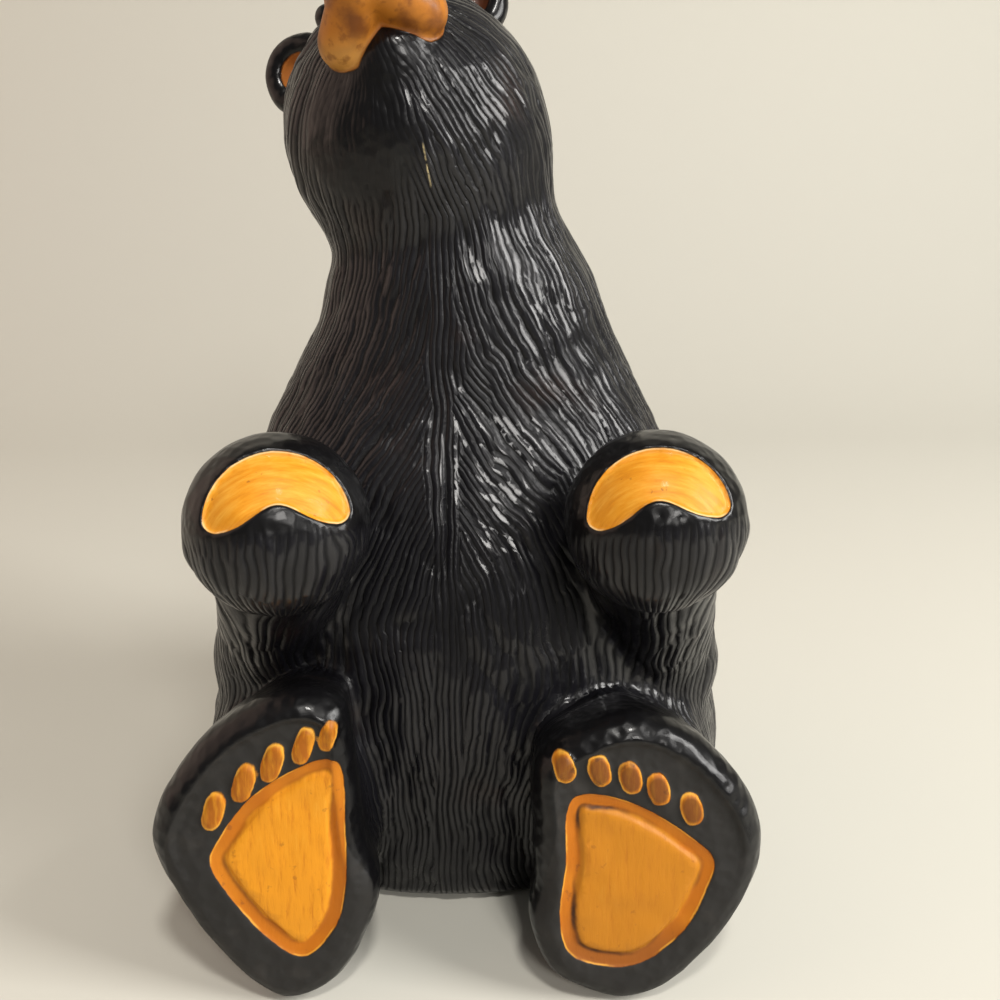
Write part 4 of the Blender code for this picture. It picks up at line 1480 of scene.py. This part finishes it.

# %% [markdown]
# ### Sole, pads and toes
#
# The sole is matte charcoal. The amber was brushed on thickly: streaks run up and down the big pad,
# the bevelled border is a deeper orange, and the groove inside it is darker brown in patches, strongest
# on the left of each sole and on the right foot.

# %% Paint the soles
SOLE_ROUGHNESS = 0.62
sole_parts = add("ShaderNodeSeparateXYZ", None, {0: brush_place}).outputs
rim_width = stepped(sole_parts[1], -8.0, 14.0, 1.6, 5.6)
sole_inside = minus(stored("sole edge"), rim_width)
on_sole = painted_edge(sole_inside, wobble=0.5, softness=0.35)["Mask"]
dust = stains(size=150.0, amount=0.5, sharpness=0.3)
charcoal = blend(times(dust, 0.7), CHARCOAL, CHARCOAL_DUST)
colour = blend(on_sole, colour, charcoal)
roughness = mix(on_sole, roughness, SOLE_ROUGHNESS)
coat = times(coat, rest_of(on_sole))
streaks = brushed(across=0.34, along=0.05, contrast=1.5)
pad_edge = stored("pad edge")
pad = painted_edge(pad_edge, wobble=0.35, softness=0.14)
wash = stains(size=55.0, amount=0.55, sharpness=0.3)
amber = blend(stepped(streaks, 0.0, 0.55), AMBER_DEEP, AMBER)
amber = blend(times(stepped(streaks, 0.5, 0.9), wash), amber, AMBER_LIGHT)
object_parts = add("ShaderNodeSeparateXYZ", None, {0: place}).outputs
right_foot = stepped(object_parts[0], -0.01, 0.01)
amber = blend(times(right_foot, 0.7), amber, AMBER_DULL)
pits = stains(size=420.0, amount=0.36, sharpness=0.08)
amber = blend(times(pits, 0.35), amber, AMBER_BROWN)
border = blend(times(wash, 0.35), AMBER_DEEP, AMBER)
low_border = times(right_foot, stepped(sole_parts[1], -10.0, -22.0))
border = blend(times(low_border, 0.7), border, AMBER_BROWN)
border = blend(times(pits, 0.5), border, AMBER_BROWN)
hand_cut = cloudy(place, 110.0, 3.0)
plateau = plus(pad_edge, times(minus(hand_cut, 0.5), 3.0))
in_border = rest_of(stepped(plateau, PAD_RIM - 0.5, PAD_RIM + 0.4))
pad_colour = blend(in_border, amber, border)
groove_line = math_of("ABSOLUTE", minus(plateau, PAD_RIM - 0.2))
groove_cloud = stains(size=70.0, amount=0.62, sharpness=0.3)
in_groove = rest_of(stepped(groove_line, 0.1, 0.9))
foot_share = plus(times(right_foot, 0.55), 0.45)
inner_side = stepped(sole_parts[0], -10.0, 6.0, 1.0, 0.45)
groove_share = times(times(foot_share, inner_side), groove_cloud)
in_groove = times(in_groove, groove_share)
pad_colour = blend(in_groove, pad_colour, GROOVE_BROWN)
pad_colour = blend(times(pad["Rim line"], 0.7), pad_colour, AMBER_LIGHT)
colour = blend(pad["Mask"], colour, pad_colour)
print("sole and big pads painted")

# %% Paint the toes
toe_edge = stored("toe edge")
toe = painted_edge(toe_edge, wobble=0.5, softness=0.14)
toe_stain = stains(size=260.0, amount=0.52, sharpness=0.18)
toe_colour = blend(stepped(streaks, 0.35, 0.8), AMBER_DEEP, AMBER)
toe_middle = math_of("MAXIMUM", times(stepped(toe_edge, 0.15, 0.9), 0.85), toe_stain)
toe_brown = stepped(object_parts[0], -0.01, 0.01, 0.35, 0.9)
toe_colour = blend(times(toe_middle, toe_brown), toe_colour, TOE_BROWN)
toe_colour = blend(times(toe["Rim line"], 0.8), toe_colour, AMBER_LIGHT)
colour = blend(toe["Mask"], colour, toe_colour)
print("toes painted")

# %% [markdown]
# ### Paw pads, muzzle and ear linings
#
# The paw pads are the brightest amber, with a thin worn line along their edge. The muzzle and the
# insides of the ears were painted with the same amber, thinned with brown.

# %% Paint the paw pads
paw_edge = stored("paw pad edge")
paw_pad = painted_edge(paw_edge, wobble=0.25, softness=0.12)
arc = brushed(across=0.4, along=0.06, contrast=1.2)
honey = blend(stepped(arc, 0.0, 0.5), AMBER_DEEP, AMBER)
honey = blend(times(stepped(arc, 0.4, 0.8), 0.8), honey, AMBER_LIGHT)
flecks = stains(size=520.0, amount=0.34, sharpness=0.06)
honey = blend(times(flecks, 0.55), honey, AMBER_BROWN)
honey = blend(times(paw_pad["Rim line"], 0.9), honey, WORN_CREAM)
colour = blend(paw_pad["Mask"], colour, honey)
print("paw pads painted")

# %% Paint the muzzle and the ears
AMBER_ROUGHNESS = (0.52, 0.42)
muzzle = painted_edge(stored("muzzle edge"), wobble=0.6, softness=0.25)
rust = stains(size=100.0, amount=0.56, sharpness=0.2)
muzzle_colour = blend(rust, MUZZLE_AMBER, MUZZLE_BROWN)
# Painted light and shade: the lowest lobes of the muzzle are painted lighter than the parts above them.
lit_low_lobes = stepped(object_parts[2], MUZZLE_LOW + 0.002, MUZZLE_LOW + 0.009, 0.75, 0.0)
muzzle_colour = blend(lit_low_lobes, muzzle_colour, MUZZLE_LIT_AMBER)
grain = cloudy(place, 480.0, 5.0)
muzzle_colour = blend(stepped(grain, 0.52, 0.72, 0.0, 0.6), muzzle_colour, MUZZLE_BROWN)
# Painted shade: the amber turns brown in the crease along the muzzle's edge.
shaded_crease = rest_of(stepped(stored("muzzle edge"), 0.1, 1.4))
muzzle_colour = blend(times(shaded_crease, 0.6), muzzle_colour, AMBER_BROWN)
colour = blend(muzzle["Mask"], colour, muzzle_colour)
ear_lining = painted_edge(stored("ear lining edge"), wobble=0.6, softness=0.2)
lining_colour = blend(stepped(object_parts[0], -0.03, -0.01), EAR_AMBER, EAR_RUST)
colour = blend(ear_lining["Mask"], colour, lining_colour)
amber_mask = pad["Mask"]
for patch in (toe, paw_pad, muzzle, ear_lining):
    amber_mask = math_of("MAXIMUM", amber_mask, patch["Mask"])
amber_rough = stepped(streaks, 0.2, 0.8, *AMBER_ROUGHNESS)
roughness = mix(amber_mask, roughness, amber_rough)
coat = times(coat, rest_of(times(amber_mask, 0.8)))
print("muzzle and ears painted")

# %% A scratch down the chin
SCRATCH_TOP = 0.1975
SCRATCH_END = 0.1870
SCRATCH_SIDE = -0.0070
SCRATCH_LEAN = -0.17
SCRATCH_SHIVER = 0.0012
SCRATCH_CORE = 0.00008
SCRATCH_EDGE = 0.0003
SCRATCH_FADE = 0.001
aside = times(minus(object_parts[2], SCRATCH_END), SCRATCH_LEAN)
aside = minus(minus(object_parts[0], SCRATCH_SIDE), aside)
shiver = cloudy(place, 300.0, 3.0)
aside = plus(aside, times(minus(shiver, 0.5), SCRATCH_SHIVER))
scratch = rest_of(stepped(math_of("ABSOLUTE", aside), SCRATCH_CORE, SCRATCH_EDGE))
for start, end, value in (
    (SCRATCH_END, SCRATCH_END + SCRATCH_FADE, object_parts[2]),
    (SCRATCH_TOP, SCRATCH_TOP - SCRATCH_FADE, object_parts[2]),
    (0.0, -0.005, object_parts[1]),
    (0.4, 0.5, shiver),
):
    scratch = times(scratch, stepped(value, start, end))
colour = blend(times(scratch, 0.6), colour, SCRATCH)
print("one scratch of", round(1000.0 * (SCRATCH_TOP - SCRATCH_END), 1), "mm")

# %% Surface of the paint
STROKE_BUMP = 0.27
FINE_BUMP = 0.15
PEEL_BUMP = 0.014
HAMMER_BUMP = 0.40
STREAK_BUMP = 0.06
BUMP_DISTANCE = 0.001
MIRROR_LEVEL = 0.24
COAT_ROUGHNESS = 0.09
orange_peel = cloudy(place, 900.0, 3.0)
black_fur = times(furred_here, rest_of(amber_mask))
fur_height = times(cut["Ridge"], STROKE_BUMP)
fur_height = plus(fur_height, times(cut["Fine"], FINE_BUMP))
height = times(fur_height, black_fur)
sockets = {"Vector": place, "Scale": 330.0, "Smoothness": 0.5}
hammer = add("ShaderNodeTexVoronoi", {"feature": "SMOOTH_F1"}, sockets)
hammered = times(times(hammer.outputs["Distance"], HAMMER_BUMP), bare)
hammered = times(hammered, rest_of(amber_mask))
height = plus(height, hammered)
height = plus(height, times(orange_peel, PEEL_BUMP))
amber_height = times(times(streaks, amber_mask), STREAK_BUMP)
height = plus(height, amber_height)
bump = add("ShaderNodeBump", None, {"Strength": 1.0, "Distance": BUMP_DISTANCE, "Height": height})
paint = add("ShaderNodeBsdfPrincipled", None, {
    "Base Color": colour,
    "Roughness": roughness,
    "Coat Weight": coat,
    "Specular IOR Level": MIRROR_LEVEL,
    "Coat Roughness": COAT_ROUGHNESS,
    "Normal": bump.outputs["Normal"],
})
add("ShaderNodeOutputMaterial", None, {"Surface": paint.outputs["BSDF"]})
print("painted casting:", len(tree.nodes), "nodes")

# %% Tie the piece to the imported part
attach(bear, "root")
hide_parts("bear")
print("carved_bear stands for the node bear")

# %% [markdown]
# ## Camera, floor and light
#
# The camera stands close and a little above the figure, where the picture was taken. A pale floor
# curves up into a backdrop, so that no edge crosses behind the bear. Glossy black shows mostly what it
# reflects, so two lights are wide and soft, and two small ones make the sparks on the ridges.

# %% Camera
EYE_POINT = (-0.00185, -0.26709, 0.20033)
PITCH = math.radians(20.0)
YAW = math.radians(2.53)
LENS = 36.72
forward = np.array((math.sin(YAW) * math.cos(PITCH), math.cos(YAW) * math.cos(PITCH), -math.sin(PITCH)))
right = np.array((math.cos(YAW), -math.sin(YAW), 0.0))
above = np.cross(right, forward)
camera_data = bpy.data.cameras.new("camera")
camera_data.lens = LENS
camera_data.sensor_width = 36.0
camera_data.clip_start = 0.01
camera = bpy.data.objects.new("camera", camera_data)
bpy.context.scene.collection.objects.link(camera)
rows = [(right[i], above[i], -forward[i], EYE_POINT[i]) for i in range(3)]
camera.matrix_world = Matrix((*rows, (0.0, 0.0, 0.0, 1.0)))
bpy.context.scene.camera = camera
print("camera at", EYE_POINT)

# %% Floor and backdrop
FLOOR_COLOUR = (0.60, 0.585, 0.52, 1.0)
FLOOR_ROUGHNESS = 0.7
FLOOR_SIDE = 3.0
FLOOR_FRONT = -2.0
BACK_WALL = 0.75
WALL_TOP = 2.6
BEND = 0.35
BEND_STEPS = 12
sweep = [(FLOOR_FRONT, 0.0), (BACK_WALL - BEND, 0.0)]
for step in range(1, BEND_STEPS + 1):
    angle = math.radians(90.0 * step / BEND_STEPS)
    sweep.append((BACK_WALL - BEND + BEND * math.sin(angle), BEND - BEND * math.cos(angle)))
sweep.append((BACK_WALL, WALL_TOP))
corners = [(x, y, z) for y, z in sweep for x in (-FLOOR_SIDE, FLOOR_SIDE)]
quads = [(2 * i, 2 * i + 1, 2 * i + 3, 2 * i + 2) for i in range(len(sweep) - 1)]
floor_mesh = bpy.data.meshes.new("floor")
floor_mesh.from_pydata(corners, [], quads)
floor_mesh.shade_smooth()
floor = bpy.data.objects.new("floor", floor_mesh)
bpy.context.scene.collection.objects.link(floor)
floor_paint = bpy.data.materials.new("pale_floor")
floor_paint.use_nodes = True
floor_shader = floor_paint.node_tree.nodes["Principled BSDF"]
floor_shader.inputs["Base Color"].default_value = FLOOR_COLOUR
floor_shader.inputs["Roughness"].default_value = FLOOR_ROUGHNESS
floor_mesh.materials.append(floor_paint)
print("floor and backdrop:", len(quads), "faces")

# %% Lights


def soft_light(name, spot, target, size, watts, colour):
    data = bpy.data.lights.new(name, "AREA")
    data.shape = "RECTANGLE"
    data.size, data.size_y = size
    data.energy = watts
    data.color = colour
    made = bpy.data.objects.new(name, data)
    bpy.context.scene.collection.objects.link(made)
    way_back = unit(np.array(spot) - np.array(target))
    side = unit(np.cross((0.0, 0.0, 1.0), way_back))
    over = np.cross(way_back, side)
    rows = [(side[i], over[i], way_back[i], spot[i]) for i in range(3)]
    made.matrix_world = Matrix((*rows, (0.0, 0.0, 0.0, 1.0)))
    return made


# Each light has a name, a place, a point it aims at, a size, its watts and its colour.
soft_light("window", (0.95, -0.38, 0.66), (0.0, 0.0, 0.12), (0.40, 0.65), 15.0, (1.0, 0.98, 0.95))
soft_light("room", (-0.95, 0.05, 0.55), (0.0, 0.0, 0.1), (1.1, 1.1), 3.2, (1.0, 0.70, 0.56))
soft_light("lamp", (0.12, -0.55, 1.15), (0.0, 0.0, 0.1), (0.13, 0.13), 6.5, (1.0, 0.97, 0.92))
soft_light("front", (0.30, -1.0, 0.72), (0.0, 0.0, 0.12), (0.22, 0.22), 4.5, (1.0, 0.97, 0.93))
world = bpy.data.worlds.new("studio")
bpy.context.scene.world = world
world.use_nodes = True
world.node_tree.nodes["Background"].inputs["Color"].default_value = (0.9, 0.87, 0.82, 1.0)
world.node_tree.nodes["Background"].inputs["Strength"].default_value = 0.17
bpy.context.scene.view_settings.view_transform = "Standard"
bpy.context.scene.view_settings.look = "None"
print("four lights and a dim surround")
